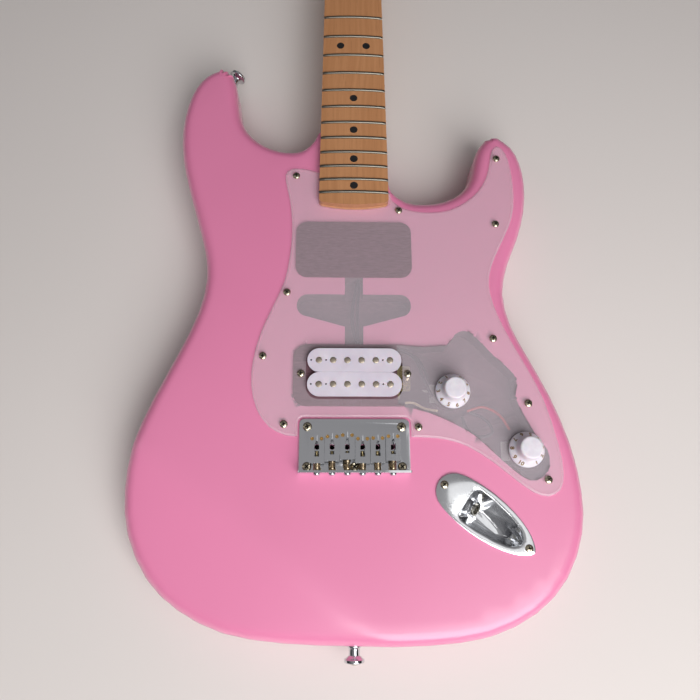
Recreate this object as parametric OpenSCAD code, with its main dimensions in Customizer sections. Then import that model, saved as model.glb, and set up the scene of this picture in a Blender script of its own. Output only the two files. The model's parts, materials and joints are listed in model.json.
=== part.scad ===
// Solid-body electric guitar with one open-coil pickup, a fixed bridge and
// two controls, lying on its back. The origin is on the back of the body, on
// the centre line, under the line where the strings would leave the saddles.
// +Z is up out of the playing face, +Y runs up the neck, +X is the treble side.

/* [Body] */
// Thickness of the body
body_t = 44; // [38:0.5:55]
// Width of the body across the lower bout
body_w = 332; // [276:1:400]
// Length of the body from the tail to the tip of the upper horn
body_l = 461; // [440:1:500]
// Radius of the rounded body edge
edge_r = 10; // [4:0.5:11]
// Slope of the forearm contour, in degrees
arm_angle = 12; // [4:0.5:15]
// Depth of the belly cut at the body's edge
belly_depth = 14; // [4:0.5:20]

/* [Neck] */
// Scale length, from the nut to the saddle line
scale_l = 648; // [540:1:780]
// Number of frets
fret_count = 21; // [19:1:22]
// Width of the neck at the nut
nut_w = 42; // [38:0.5:46]
// Width of the neck at its heel
heel_w = 56.2; // [50:0.2:67]
// Thickness of the neck wood at the heel
heel_t = 19.2; // [17:0.2:22]
// Thickness of the fretboard at its middle
board_t = 6; // [4.5:0.5:8]
// Radius of the fretboard's crown
board_r = 241; // [180:1:420]
// Depth of the pocket that the heel sits in
pocket_depth = 16; // [14:0.5:18]
// Thickness of the neck behind the nut, with the fretboard
neck_t = 21; // [19:0.5:24]
// Height of a fret above the board
fret_h = 1.1; // [0.8:0.1:1.5]
// Diameter of the position dots
dot_d = 6.4; // [4:0.2:8]
// Thickness of the headstock
head_t = 14; // [12:0.5:16]
// Distance between two tuners along their row
tuner_pitch = 25; // [24.6:0.1:27]

/* [Bridge] */
// Distance between neighbouring saddles
string_pitch = 10.76; // [10.4:0.01:11.4]
// Length of a saddle
saddle_l = 19.5; // [17:0.5:21]
// Height of a saddle
saddle_h = 9; // [8:0.2:11]
// Thickness of the bridge plate
plate_t = 2; // [1.5:0.1:3]
// Width of the bridge plate
plate_w = 80; // [78:1:96]
// Distance from the saddle line to the plate's front edge
plate_front = 10.8; // [9:0.2:14]
// Distance from the saddle line to the plate's rear edge
plate_rear = 28.5; // [28:0.5:32]
// Diameter of an intonation screw
adjuster_d = 3; // [2.5:0.1:3.5]

/* [Pickup] */
// Distance from the saddle line to the pickup's middle
pickup_y = 44.8; // [38:0.5:60]
// Distance between the two rows of poles
row_gap = 18.2; // [17.6:0.1:20]
// Distance between neighbouring poles
pole_pitch = 10.5; // [9.8:0.05:10.8]
// Diameter of a pole
pole_d = 4.9; // [4:0.1:5.4]
// Length of a bobbin
bobbin_l = 69.6; // [66:0.2:74]
// Height of the bobbins' top above the body
pickup_rise = 7.4; // [5:0.2:9]

/* [Pickguard and controls] */
// Thickness of the pickguard
guard_t = 2.4; // [1.6:0.1:3.2]
// Diameter of a control knob's skirt
knob_d = 25.8; // [21.4:0.2:31]
// Height of a control knob
knob_h = 14; // [11:0.5:17]
// Diameter of a control's shaft
shaft_d = 6; // [5.4:0.1:6.6]
// Diameter of a control's can
pot_d = 24; // [16:0.5:28]
// Bore of the output jack
jack_bore = 6.4; // [6.35:0.01:6.6]
// Diameter of a strap button's flange
strap_d = 14.4; // [12:0.2:18]

/* [Clearances] */
// Radial clearance of a shaft that turns in its bore
run_fit = 0.05; // [0.02:0.01:0.09]
// Gap round a piece that is set into the wood
seat_gap = 0.1; // [0.05:0.05:0.3]
// Gap between pieces that pass each other
pass_gap = 0.3; // [0.2:0.05:0.5]

/* [Hidden] */
$fn = 48;
eps = 0.01;

// ---- Heights of the main levels
body_top = body_t;
pocket_z = body_top - pocket_depth;
wood_top = pocket_z + heel_t;
board_top = wood_top + board_t;
guard_top = body_top + guard_t;
plate_top = body_top + plate_t;
head_back = board_top - neck_t - 2;
head_face = head_back + head_t;

// ---- Places along the neck
function fret_y(n) = scale_l * pow(2, -n / 12);
heel_past_fret = 11.2;
heel_y = fret_y(fret_count) - heel_past_fret;
standard_heel_y = 181.45;
body_shift = heel_y - standard_heel_y;
nut_len = 3.2;
function neck_half(y) =
    nut_w / 2 + (heel_w - nut_w) / 2 * (scale_l - y) / (scale_l - heel_y);

// ---- The body is drawn at its standard size and stretched from there
standard_w = 332;
standard_l = 461;
sy = body_l / standard_l;
tail_y = -143.4;
// The stretch keeps the neck pocket where the neck is
function bx(x) = abs(x) < heel_w / 2 ? x : sign(x) * (heel_w / 2
    + (abs(x) - heel_w / 2) * (body_w - heel_w) / (standard_w - heel_w));
function by(y) = body_shift + standard_heel_y + (y - standard_heel_y) * sy;
function place(p) = [bx(p[0]), by(p[1])];

// ---- Smooth curves: centripetal Catmull-Rom through a list of knots
function knot_t(a, b) = sqrt(max(norm(b - a), 0.001));
function mix(a, b, ta, tb, t) = (a * (tb - t) + b * (t - ta)) / (tb - ta);
function curve_point(p, u) = let (
    t0 = 0, t1 = t0 + knot_t(p[0], p[1]), t2 = t1 + knot_t(p[1], p[2]),
    t3 = t2 + knot_t(p[2], p[3]), t = t1 + (t2 - t1) * u,
    a1 = mix(p[0], p[1], t0, t1, t), a2 = mix(p[1], p[2], t1, t2, t),
    a3 = mix(p[2], p[3], t2, t3, t), b1 = mix(a1, a2, t0, t2, t),
    b2 = mix(a2, a3, t1, t3, t)) mix(b1, b2, t1, t2, t);
function open_curve(k, n) = let (m = len(k)) concat(
    [for (i = [0:m - 2], j = [0:n - 1]) curve_point(
        [i == 0 ? 2 * k[0] - k[1] : k[i - 1], k[i], k[i + 1],
         i == m - 2 ? 2 * k[m - 1] - k[m - 2] : k[i + 2]], j / n)],
    [k[m - 1]]);
function closed_curve(k, n) = let (m = len(k))
    [for (i = [0:m - 1], j = [0:n - 1]) curve_point(
        [k[(i + m - 1) % m], k[i], k[(i + 1) % m], k[(i + 2) % m]], j / n)];

// ---- Body outline: knots from the treble side of the neck round the tail
// to the bass side, then the two corners of the neck block
body_knots = [
    [28.6, 206], [31, 199], [42, 192.6], [58, 190.9], [75, 193.6], [89, 202],
    [97, 214], [101, 229], [104.6, 241], [111.5, 251], [122, 253.8],
    [134.5, 244.5], [140.7, 230], [143.2, 210], [140.8, 185], [133.3, 160],
    [123, 135], [118.4, 112], [122.8, 86], [134.5, 60], [148.5, 30],
    [160.5, -6], [165.7, -42], [163, -70], [149.5, -100], [126, -122.7],
    [92, -137.6], [50, -142.9], [0, -143.4], [-50, -142.3], [-92, -136.2],
    [-125, -121.2], [-148, -100.6], [-163.3, -70], [-166.8, -40],
    [-162.4, -8], [-150, 27], [-135, 60], [-120.6, 96], [-116, 124],
    [-118.6, 146], [-126.8, 175], [-135.8, 205], [-142, 231], [-144.3, 258],
    [-141.6, 282], [-136, 299.5], [-127, 312], [-114, 317.8], [-103.8, 311.5],
    [-100, 298], [-98.2, 285], [-95.6, 272], [-91, 260.3], [-84, 251.3],
    [-74, 243.9], [-62, 239.2], [-50, 238.1], [-40, 240.4], [-32.5, 247],
    [-29.3, 253]];
block_y = 257;
block_corner = [[-25.5, block_y], [22, block_y], [26.6, 252.5]];
function body_outline() = [
    for (p = concat(open_curve(body_knots, 2), block_corner)) place(p)];

// Distance from a point to the block that holds the neck
function block_gap(p) = let (
    dx = max(abs(p[0]) - heel_w / 2, 0),
    dy = max(heel_y - p[1], p[1] - by(block_y), 0)) norm([dx, dy]);
// Radius of the outline's own turn at point i
function turn_at(o, i) = let (m = len(o), a = o[(i + m - 2) % m], b = o[i],
    c = o[(i + 2) % m],
    k = (b - a)[1] * (c - b)[0] - (b - a)[0] * (c - b)[1])
    k < 0.5 ? 1000 : norm(b - a) * norm(c - b) * norm(c - a) / (2 * k);
// The edge is rounded less at the horns' tips and where it meets the neck
function edge_at(o, i) = min(edge_r, 2 + 0.45 * block_gap(o[i]),
    0.6 * turn_at(o, i));

// ---- Forearm contour: a flat bevel on the bass side of the lower bout
crease = place([-150, -12]);
crease_angle = -36.8;
function past_crease(p) = (p - [crease[0], crease[1]])
    * [sin(crease_angle), -cos(crease_angle)];
function face_z(p) = body_top - tan(arm_angle) * max(0, past_crease(p));

// One slice of the rounded rim at outline point i. The rim laps under the
// core's top face, and the core reaches a little way out over the rim
rim_steps = 4;
rim_lap = 1;
rim_drop = 0.02;
core_reach = 0.4;
function inward(o, i) = let (m = len(o),
    t = o[(i + 1) % m] - o[(i + m - 1) % m]) [t[1], -t[0]] / norm(t);
function rim_slice(o, i) = let (p = o[i], n = inward(o, i), r = edge_at(o, i),
    inner = p + n * (r + rim_lap)) concat(
    [for (k = [0:rim_steps]) let (a = 90 * k / rim_steps,
        q = p + n * r * (1 - sin(a))) [q[0], q[1], r * (1 - cos(a))]],
    [for (k = [rim_steps:-1:0]) let (a = 90 * k / rim_steps,
        q = p + n * r * (1 - sin(a)))
            [q[0], q[1], face_z(q) - rim_drop - r * (1 - cos(a))]],
    [[inner[0], inner[1], face_z(inner) - rim_lap], [inner[0], inner[1], 0]]);
module body_rim(o) {
    m = len(o);
    s = 2 * rim_steps + 4;
    points = [for (i = [0:m - 1], q = rim_slice(o, i)) q];
    polyhedron(points, [for (i = [0:m - 1], j = [0:s - 1], h = [0, 1])
        let (a = i * s + j, b = i * s + (j + 1) % s,
             c = ((i + 1) % m) * s + j, d = ((i + 1) % m) * s + (j + 1) % s)
        h == 0 ? [a, c, b] : [b, c, d]]);
}
// The core's corners stand a little along from the rim's slices, so that no
// corner of one lies on an edge of the other
module body_core(o) {
    m = len(o);
    q = [for (i = [0:m - 1])
        o[i] + inward(o, i) * (edge_at(o, i) - core_reach)];
    difference() {
        linear_extrude(body_t) polygon([for (i = [0:m - 1])
            let (step = q[(i + 1) % m] - q[i])
                q[i] + step * min(0.3, 1 / norm(step))]);
        translate([crease[0], crease[1], body_top]) rotate([0, 0, crease_angle])
            rotate([arm_angle, 0, 0]) translate([-300, -250, 0])
                cube([700, 250, 80]);
    }
}

// ---- Small shapes that repeat
module rounded_box(size, r) {
    linear_extrude(size[2]) rounded_rect(size, r);
}
module rounded_rect(size, r) {
    for (x = [-1, 1]) translate([x * (size[0] / 2 - r), 0])
        square([2 * r, size[1] - 2 * r], center = true);
    square([size[0] - 2 * r, size[1]], center = true);
    for (x = [-1, 1], y = [-1, 1])
        translate([x * (size[0] / 2 - r), y * (size[1] / 2 - r)]) circle(r);
}
// Oval-head screw with its point down and its seat at the origin
screw_head_h = 1.5;
module screw(d, head_d, len) {
    rotate_extrude() polygon([[0, -len], [d * 0.2, -len + d * 0.4],
        [d / 2, -len + d * 1.1], [d / 2, -head_d * 0.22], [head_d / 2, 0],
        [head_d * 0.42, 0.8], [head_d * 0.22, screw_head_h - 0.1],
        [0, screw_head_h]]);
}
module screw_hole(d, head_d, len) {
    rotate_extrude() polygon([[0, -len - eps], [d * 0.2, -len + d * 0.4],
        [d / 2, -len + d * 1.1], [d / 2, -head_d * 0.22], [head_d / 2, 0],
        [head_d / 2, 2], [0, 2]]);
}
plate_screw_d = 3;
plate_screw_head = 5.8;
plate_screw_l = 13;
body_screw_d = 3.6;
body_screw_head = 6.6;
body_screw_l = 26;

// ---- Where the screws sit
guard_screws = [for (p = [[-46.6, 210.5], [36.1, 180], [113.7, 168.8],
    [118.2, 228.6], [105.6, 72.7], [128.5, 22.8], [138.6, -32.6], [46.6, 5],
    [-51.4, 6.9], [-68.4, 58.2], [-51.6, 109.1]]) place(p)];
bridge_screws = [for (p = [[-1, 1], [1, 1], [-1, -1], [0, -1], [1, -1]])
    [p[0] * (plate_w / 2 - 5.8), p[1] > 0 ? plate_front - 5.6
        : -plate_rear + 5]];

// ---- Jack cup: its own frame has +X along the cup from screw to screw
cup_at = place([63.9, -35.9]);
cup_angle = -37.3;
cup_t = 1.4;
cup_l = 72;
cup_depth = 16;
jack_tilt = 35;
jack_u = 26;
jack_drop = 8;
module on_cup() {
    translate([cup_at[0], cup_at[1], body_top]) rotate([0, 0, cup_angle])
        children();
}
cup_knots = [[-4.6, 0], [-2.6, 7], [3, 12.2], [14, 15.2], [32, 16.4],
    [50, 14.4], [64, 10.4], [73, 5.2], [77.2, 0]];
mouth_knots = [[19.4, 0], [19.4, 10.4], [21.6, 12.8], [34, 12.6], [50, 10.3],
    [61, 7], [66, 3.2], [67, 0]];
function both_sides(k) = concat(k,
    [for (i = [len(k) - 2:-1:1]) [k[i][0], -k[i][1]]]);
// Hollow under the mouth: it is deepest by the jack and rises to the point
module cup_hollow(grow) {
    hull() {
        translate([0, 0, cup_t - eps]) linear_extrude(eps) offset(delta = grow)
            polygon(both_sides(mouth_knots));
        translate([38.5, 0, -cup_depth - grow]) linear_extrude(eps)
            offset(delta = grow) polygon([[-6.9, -7], [-6.9, 7], [4, 6.5],
                [12, 4], [14, 0], [12, -4], [4, -6.5]]);
    }
}
module on_jack() {
    on_cup() translate([jack_u, 0, -jack_drop]) rotate([0, 90 - jack_tilt, 0])
        children();
}

// ---- Strap buttons: [place on the body's side, direction]
strap_l = 12;
strap_places = [[[0, by(tail_y)], -90], [place([-108, 315.8]), 62]];
module on_strap(s) {
    translate([s[0][0], s[0][1], body_t / 2]) rotate([0, 0, s[1]])
        rotate([0, 90, 0]) children();
}

// ---- Tuners: the row starts behind the nut and leans to the treble side
row_angle = 14.8;
row_start = [-19.6 * nut_w / 42, scale_l + 35];
row_dir = [sin(row_angle), cos(row_angle)];
module on_tuner(i) {
    p = row_start + row_dir * tuner_pitch * (i - 1);
    translate([p[0], p[1], head_back]) rotate([0, 0, -row_angle]) children();
}
post_d = 6;
gear_r = 5.9;
worm_r = 2.5;
worm_y = -gear_r - worm_r - 0.15;
worm_z = -5.1;
button_x = -22.5;
button_shaft_r = 2;

// ---- Saddles: how far each one's front stands from the saddle line
saddle_front = [-2.6, -1.1, -0.1, -2.6, -2.1, -0.8];
saddle_base = plate_top + 1.8;
adjuster_z = saddle_base + saddle_h * 0.42;
lip_t = 1.6;
lip_top = plate_top + 10;
adjuster_tip = -13;
function saddle_x(i) = (i - 3.5) * string_pitch;
string_hole_y = -9.5;
string_hole_r = 1.6;
ferrule_r = 3.1;
ferrule_l = 9;

// ---- Pickup levels
bobbin_top = body_top + pickup_rise;
bobbin_h = 11;
bobbin_z = bobbin_top - bobbin_h;
magnet_h = 3.2;
base_z = bobbin_z - magnet_h;
base_t = 1.2;
ear_x = bobbin_l / 2 + 4.9;
ear_z = base_z - base_t - 6;
bobbin_w = row_gap - 0.1;
flange_t = 1.6;
height_screw_d = 3;
cavity_floor = 10;

// ---- Controls
volume_at = place([72.6, 31.5]);
tone_at = place([124.1, -11.4]);
pots = [volume_at, tone_at];
pot_h = 10;
bushing_d = 7.9;
pot_floor = body_top - pot_h - 1;
knob_gap = 3.4;

// =================== BODY ===================
module neck_plan(y1, grow) {
    half0 = neck_half(heel_y) + grow;
    tip_r = 120;
    corner_r = 4;
    intersection() {
        offset(r = corner_r) offset(delta = -corner_r) intersection() {
            polygon([[-half0, heel_y - 20], [half0, heel_y - 20],
                [neck_half(heel_y + 60) + grow, heel_y + 60],
                [-neck_half(heel_y + 60) - grow, heel_y + 60]]);
            translate([0, heel_y + tip_r - grow]) circle(tip_r, $fn = 160);
        }
        translate([-100, heel_y - 50]) square([200, 90]);
    }
    polygon([[-neck_half(heel_y + 40) - grow, heel_y + 40 - eps],
        [neck_half(heel_y + 40) + grow, heel_y + 40 - eps],
        [neck_half(y1) + grow, y1], [-neck_half(y1) - grow, y1]]);
}
// Edge of the control cavity, from the bridge rout round to the tone control
control_knots = [[32, 67.4], [70, 67.4], [77, 76.5], [84, 79.5], [91, 76],
    [106, 59.5], [120, 45.5], [121.8, 37], [119.6, 29], [131, 2],
    [140.5, -11], [141.2, -22], [135, -31], [126, -33], [114, -25],
    [101, -13], [88, -1], [74, 7.5], [56, 15.5], [32, 22]];
module control_cavity() {
    polygon([for (p = open_curve(control_knots, 2)) place(p)]);
}
// Pockets in the top, all under the pickguard and open to its underside
pickup_rout = [91, 47];
neck_rout_y = 146;
neck_rout_depth = 18;
middle_rout = [88, 18];
middle_rout_y = 99.5;
middle_rout_depth = 16;
channel_w = 14;
channel_from = 66;
channel_to = 123;
channel_depth = 12;
module rout(y, size, r, depth)
    translate([0, y, body_top - depth])
        rounded_box([size[0], size[1], depth + 2], r);
module routs() {
    rout(by(neck_rout_y), pickup_rout, 9, neck_rout_depth);
    rout(by(middle_rout_y), middle_rout, 8.5, middle_rout_depth);
    translate([0, by(middle_rout_y) - 5.5, body_top - middle_rout_depth])
        linear_extrude(middle_rout_depth + 2)
            polygon([[-38, -3], [-8, -11.5], [8, -11.5], [38, -3], [0, 3]]);
    rout((by(channel_from) + by(channel_to)) / 2,
        [channel_w, by(channel_to) - by(channel_from)], 0.1, channel_depth);
    rout(pickup_y - 0.8, pickup_rout, 10, body_top - cavity_floor - 8);
    translate([0, 0, cavity_floor]) linear_extrude(body_t) control_cavity();
}
neck_plate_size = [51, 64];
neck_plate_y = heel_y + 38;
neck_plate_t = 1.8;
neck_plate_r = 5;
neck_screw_at = [19, 25.5];
neck_screw_d = 4.2;
neck_screw_l = 42;
neck_head_d = 8;
module neck_screw_places() {
    for (x = [-1, 1], y = [-1, 1]) translate([x * neck_screw_at[0],
        neck_plate_y + y * neck_screw_at[1], 0]) children();
}
module body() color([0.94, 0.58, 0.70]) difference() {
    o = body_outline();
    union() {
        body_rim(o);
        body_core(o);
    }
    // Belly cut: a wide shallow scoop across the bass side of the back
    belly_r = 190;
    belly_run = 78;
    socket_d = 20;
    socket_l = 34;
    wire_hole_d = 8;
    translate([-belly_run, by(48), 0])
        rotate([0, 90 - atan(belly_depth / belly_run), 180])
            translate([belly_r, 0, -200]) cylinder(h = 500, r = belly_r, $fn = 96);
    translate([0, 0, pocket_z]) linear_extrude(body_t)
        neck_plan(by(block_y) + 30, seat_gap);
    routs();
    for (p = guard_screws) translate([p[0], p[1], guard_top])
        screw_hole(plate_screw_d, plate_screw_head, plate_screw_l);
    for (p = bridge_screws) translate([p[0], p[1], plate_top])
        screw_hole(body_screw_d, body_screw_head, body_screw_l);
    for (s = strap_places) on_strap(s) translate([0, 0, strap_l])
        screw_hole(body_screw_d, body_screw_head, body_screw_l);
    on_cup() for (u = [0, cup_l]) translate([u, 0, cup_t])
        screw_hole(plate_screw_d, plate_screw_head, plate_screw_l);
    on_cup() cup_hollow(cup_t + pass_gap);
    on_jack() translate([0, 0, -socket_l])
        cylinder(h = socket_l + 4, d = socket_d);
    // Wire hole from the jack up to the control cavity
    on_cup() translate([8, 0, -24]) rotate([-90, 0, 18])
        cylinder(h = 48, d = wire_hole_d);
    for (i = [1:6]) translate([saddle_x(i), string_hole_y, -eps]) {
        cylinder(h = ferrule_l + seat_gap, r = ferrule_r);
        cylinder(h = body_t + 1, r = string_hole_r);
        cylinder(h = 1.2, r = ferrule_r + 0.9);
    }
    translate([0, neck_plate_y, -eps])
        rounded_box([neck_plate_size[0] + 2 * seat_gap,
            neck_plate_size[1] + 2 * seat_gap, neck_plate_t + eps],
            neck_plate_r);
    neck_screw_places() cylinder(h = body_t, d = neck_screw_d + 0.4);
}

module pickguard() color([0.86, 0.78, 0.82, 0.6]) difference() {
    knots = [[-28, 214], [-39, 216.8], [-46, 217.6], [-52, 216.4], [-55.4, 211.5],
        [-54.1, 201], [-51.4, 189], [-49.6, 174], [-49, 158], [-50.2, 140],
        [-54, 118], [-62, 98], [-70.5, 77], [-75.8, 54], [-76.2, 36],
        [-71.5, 18], [-62.5, 5.5], [-50, -1], [-36, -1.8], [0, -2], [38, -2.2],
        [54, -2.5], [68, -4.2], [82, -8.8], [100, -20], [116, -33],
        [128, -41.5], [138, -44.2], [147, -39.6], [150.4, -28], [148.6, -8],
        [140.2, 26.6], [130.9, 48], [120.2, 69.4], [111, 90.7], [106, 109],
        [106, 124], [112, 141], [124.6, 167], [129.6, 184], [130.6, 206],
        [128.4, 228], [124, 238.2], [119.6, 240.8], [115.6, 237],
        [112.6, 224], [109, 211], [101.5, 198.3], [91, 188.6], [78, 181.3],
        [63, 178.8], [48, 179.9], [38, 183.4], [31, 189.5], [28, 196]];
    translate([0, 0, body_top]) linear_extrude(guard_t)
        polygon([for (p = closed_curve(knots, 2)) place(p)]);
    translate([0, 0, body_top - 1]) linear_extrude(guard_t + 2) {
        neck_plan(heel_y + 100, pass_gap);
        translate([0, -40 + plate_front + 1.6]) rounded_rect(
            [plate_w + 2.6, 80], 4.6);
        translate([0, pickup_y]) rounded_rect(
            [bobbin_l + 2.4, row_gap + bobbin_w + 2.2], 9.6);
    }
    for (p = guard_screws) translate([p[0], p[1], guard_top])
        screw_hole(plate_screw_d, plate_screw_head, plate_screw_l);
    for (x = [-1, 1]) translate([x * ear_x, pickup_y, body_top - 1])
        cylinder(h = guard_t + 2, d = height_screw_d + 0.4);
    for (p = pots) translate([p[0], p[1], body_top - 1])
        cylinder(h = guard_t + 2, d = bushing_d);
}

module plate_screws() color([0.85, 0.84, 0.80]) {
    for (p = guard_screws) translate([p[0], p[1], guard_top])
        screw(plate_screw_d, plate_screw_head, plate_screw_l);
    on_cup() for (u = [0, cup_l]) translate([u, 0, cup_t])
        screw(plate_screw_d, plate_screw_head, plate_screw_l);
}
module body_screws() color([0.85, 0.84, 0.80]) {
    for (p = bridge_screws) translate([p[0], p[1], plate_top])
        screw(body_screw_d, body_screw_head, body_screw_l);
    for (s = strap_places) on_strap(s) translate([0, 0, strap_l])
        screw(body_screw_d, body_screw_head, body_screw_l);
}
module string_ferrules() color([0.80, 0.80, 0.82])
    for (i = [1:6]) translate([saddle_x(i), string_hole_y, 0]) difference() {
        union() {
            cylinder(h = ferrule_l, r = ferrule_r);
            cylinder(h = 1.1, r = ferrule_r + 0.8);
        }
        translate([0, 0, -1]) cylinder(h = ferrule_l - 1.5, r = 2.2);
        translate([0, 0, -1]) cylinder(h = ferrule_l + 2, r = string_hole_r);
    }

// =================== NECK ===================
// Rounded back of the neck, as a half oval hung from the wood's top plane
module neck_section(half, depth, squareness) {
    n = 20;
    polygon([for (k = [0:n]) let (a = 180 * k / n, c = cos(a), s = sin(a))
        [half * sign(c) * pow(abs(c), squareness),
         -depth * pow(abs(s), squareness)]]);
}
module neck_slab(y, depth, squareness)
    translate([0, y, wood_top]) rotate([90, 0, 0]) linear_extrude(eps)
        neck_section(neck_half(y), depth, squareness);
heel_blend = 32;
head_ramp = 12;
module headstock_outline() {
    knots = [[21, -6], [21, 6], [23.4, 18], [27.6, 32], [29.8, 50],
        [30.4, 75], [31, 100], [33, 125], [36.8, 147], [37.6, 161],
        [33, 173], [23, 179], [11, 177], [3, 169.5], [-2.6, 152],
        [-17.3, 96.5], [-28.6, 53.8], [-34, 34], [-33, 24], [-26.5, 14.5],
        [-21.4, 6], [-21, -6]];
    k = nut_w / 42;
    polygon([for (p = open_curve(knots, 3)) [p[0] * k, scale_l + p[1]]]);
}
rod_w = 5.8;
rod_h = 8.6;
rod_start = 16;
module rod_slot() {
    translate([-rod_w / 2, heel_y + rod_start, wood_top - rod_h])
        cube([rod_w, scale_l + nut_len + 20 - heel_y - rod_start, rod_h + 6]);
}
module neck() color([0.87, 0.72, 0.50]) difference() {
    shaft_y = by(block_y) + heel_blend;
    union() {
        translate([0, 0, pocket_z]) linear_extrude(heel_t)
            neck_plan(by(block_y) + 1, 0);
        hull() {
            neck_slab(by(block_y) + 1, heel_t, 0.25);
            neck_slab(shaft_y, neck_t + 1.8 - board_t, 0.85);
        }
        hull() {
            neck_slab(shaft_y, neck_t + 1.8 - board_t, 0.85);
            neck_slab(scale_l + nut_len, neck_t - board_t, 0.85);
        }
        // Headstock, with a ramp from the nut's shelf down to its face
        intersection() {
            translate([0, 0, head_back]) linear_extrude(50) headstock_outline();
            translate([-60, 0, 0]) rotate([90, 0, 90]) linear_extrude(120)
                polygon([[scale_l - 6, head_back + 4], [scale_l + 2, head_back],
                    [scale_l + 300, head_back], [scale_l + 300, head_face],
                    [scale_l + nut_len + head_ramp, head_face],
                    [scale_l + nut_len + head_ramp * 0.5,
                        head_face + 0.25 * (wood_top - head_face)],
                    [scale_l + nut_len + 1.5, wood_top],
                    [scale_l - 6, wood_top]]);
        }
    }
    rod_slot();
    for (i = [1:6]) on_tuner(i) {
        translate([0, 0, -1]) cylinder(h = head_t + 2, r = bushing_r);
        tuner_screw_place() translate([0, 0, -1]) cylinder(h = 9, d = small_screw_d);
    }
    tree_places() cylinder(h = 2 * (head_t - 4), d = small_screw_d, center = true);
    neck_screw_places() cylinder(h = neck_screw_l, d = neck_screw_d);
}
module board_crown(z, len, r) {
    translate([0, heel_y - 20, z - r]) rotate([-90, 0, 0])
        cylinder(h = len, r = r, $fn = 200);
}
// A ring segment that follows the board's crown, revolved from a profile
module crown_ring(y, half, profile) {
    a = asin(half / board_r);
    translate([0, y, board_top - board_r]) rotate([90, 0, 0])
        rotate([0, 0, 90 - a]) rotate_extrude(angle = 2 * a, $fn = 200)
            polygon([for (p = profile) [board_r + p[1], p[0]]]);
}
tang = 0.25;
tang_depth = 1.6;
fret_half_w = 1.2;
dot_frets = [3, 5, 7, 9, 15, 17, 19, 21];
double_dot = 12;
double_dot_x = 11;
function dot_places() = concat(
    [for (n = dot_frets) if (n <= fret_count)
        [0, (fret_y(n) + fret_y(n - 1)) / 2]],
    [for (x = [-1, 1]) [x * double_dot_x,
        (fret_y(double_dot) + fret_y(double_dot - 1)) / 2]]);
module fretboard() color([0.88, 0.74, 0.53]) difference() {
    intersection() {
        translate([0, 0, wood_top]) linear_extrude(board_t + 1)
            neck_plan(scale_l, 0);
        board_crown(board_top, scale_l, board_r);
    }
    for (n = [1:fret_count]) crown_ring(fret_y(n), neck_half(fret_y(n)) + 1,
        [[-tang, -tang_depth], [tang, -tang_depth], [tang, 1], [-tang, 1]]);
    for (p = dot_places()) translate([p[0], p[1], board_top - 3])
        cylinder(h = 4, d = dot_d);
}
module frets() color([0.72, 0.71, 0.68])
    for (n = [1:fret_count]) crown_ring(fret_y(n), neck_half(fret_y(n)) - 0.3,
        [[-tang, -tang_depth], [tang, -tang_depth], [tang, 0], [fret_half_w, 0],
         [0.9, 0.65 * fret_h], [0.4, fret_h], [-0.4, fret_h],
         [-0.9, 0.65 * fret_h], [-fret_half_w, 0], [-tang, 0]]);
module position_dots() color([0.08, 0.08, 0.08]) intersection() {
    for (p = dot_places()) translate([p[0], p[1], board_top - 3])
        cylinder(h = 4, d = dot_d);
    board_crown(board_top, scale_l, board_r);
}
nut_rise = 2.3;
module nut() color([0.93, 0.92, 0.86]) difference() {
    intersection() {
        translate([-nut_w / 2, scale_l, wood_top])
            cube([nut_w, nut_len, board_t + nut_rise]);
        board_crown(board_top + nut_rise, scale_l, board_r);
    }
    for (i = [-2.5:2.5]) translate([i * (nut_w - 7) / 5,
        scale_l + nut_len / 2, board_top + nut_rise])
            rotate([90, 0, 0]) cylinder(h = nut_len + 2, r = 0.7, center = true);
}
module truss_rod() color([0.45, 0.45, 0.47]) difference() {
    union() {
        translate([-rod_w / 2, heel_y + rod_start, wood_top - rod_h])
            cube([rod_w, scale_l - heel_y - rod_start - 2, rod_h]);
        translate([0, scale_l - 4, wood_top - rod_h / 2]) rotate([-90, 0, 0])
            cylinder(h = 14, d = rod_w - 0.4);
    }
    // Hex socket of the adjusting nut, reached from behind the string nut
    translate([0, scale_l + 1, wood_top - rod_h / 2]) rotate([-90, 0, 0])
        cylinder(h = 12, d = 4.6, $fn = 6);
}
module neck_plate() color([0.80, 0.80, 0.82]) difference() {
    translate([0, neck_plate_y, 0]) rounded_box(
        [neck_plate_size[0], neck_plate_size[1], neck_plate_t], neck_plate_r);
    neck_screw_places() neck_screw_head(0.05);
}
module neck_screw_head(grow) {
    translate([0, 0, -eps]) cylinder(h = neck_plate_t + 2 * eps,
        d1 = neck_head_d + grow, d2 = neck_screw_d + grow);
}
module neck_plate_screws() color([0.82, 0.82, 0.82]) neck_screw_places() {
    cylinder(h = neck_plate_t, d1 = neck_head_d, d2 = neck_screw_d);
    cylinder(h = neck_screw_l - 1, d = neck_screw_d);
}

// =================== HEADSTOCK ===================
bushing_r = 5;
small_screw_d = 2.2;
small_screw_l = 8;
ear_r = 2.4;
module tuner_screw_place() translate([5.2, 9.7, 0]) children();
module tree_places() for (p = [[9.5, 96], [13, 62]])
    translate([p[0] * nut_w / 42, scale_l + p[1], head_face]) children();
tree_h = 6;
module string_trees() color([0.80, 0.80, 0.82]) tree_places() difference() {
    union() {
        cylinder(h = tree_h, d = 5);
        translate([0, 0, tree_h - 1.2]) rounded_box([13, 5.4, 2.2], 1.5);
    }
    translate([0, 0, -1]) cylinder(h = tree_h + 3, d = small_screw_d);
    for (x = [-1, 1]) translate([x * 4.6, 0, tree_h - 1.2])
        rotate([90, 0, 0]) cylinder(h = 8, r = 0.7, center = true);
}
module headstock_screws() color([0.85, 0.84, 0.80]) {
    for (i = [1:6]) on_tuner(i) tuner_screw_place()
        translate([0, 0, -housing_ear]) mirror([0, 0, 1]) small_screw(small_screw_l);
    tree_places() translate([0, 0, tree_h + 1]) small_screw(small_screw_l + 7);
}
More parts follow.
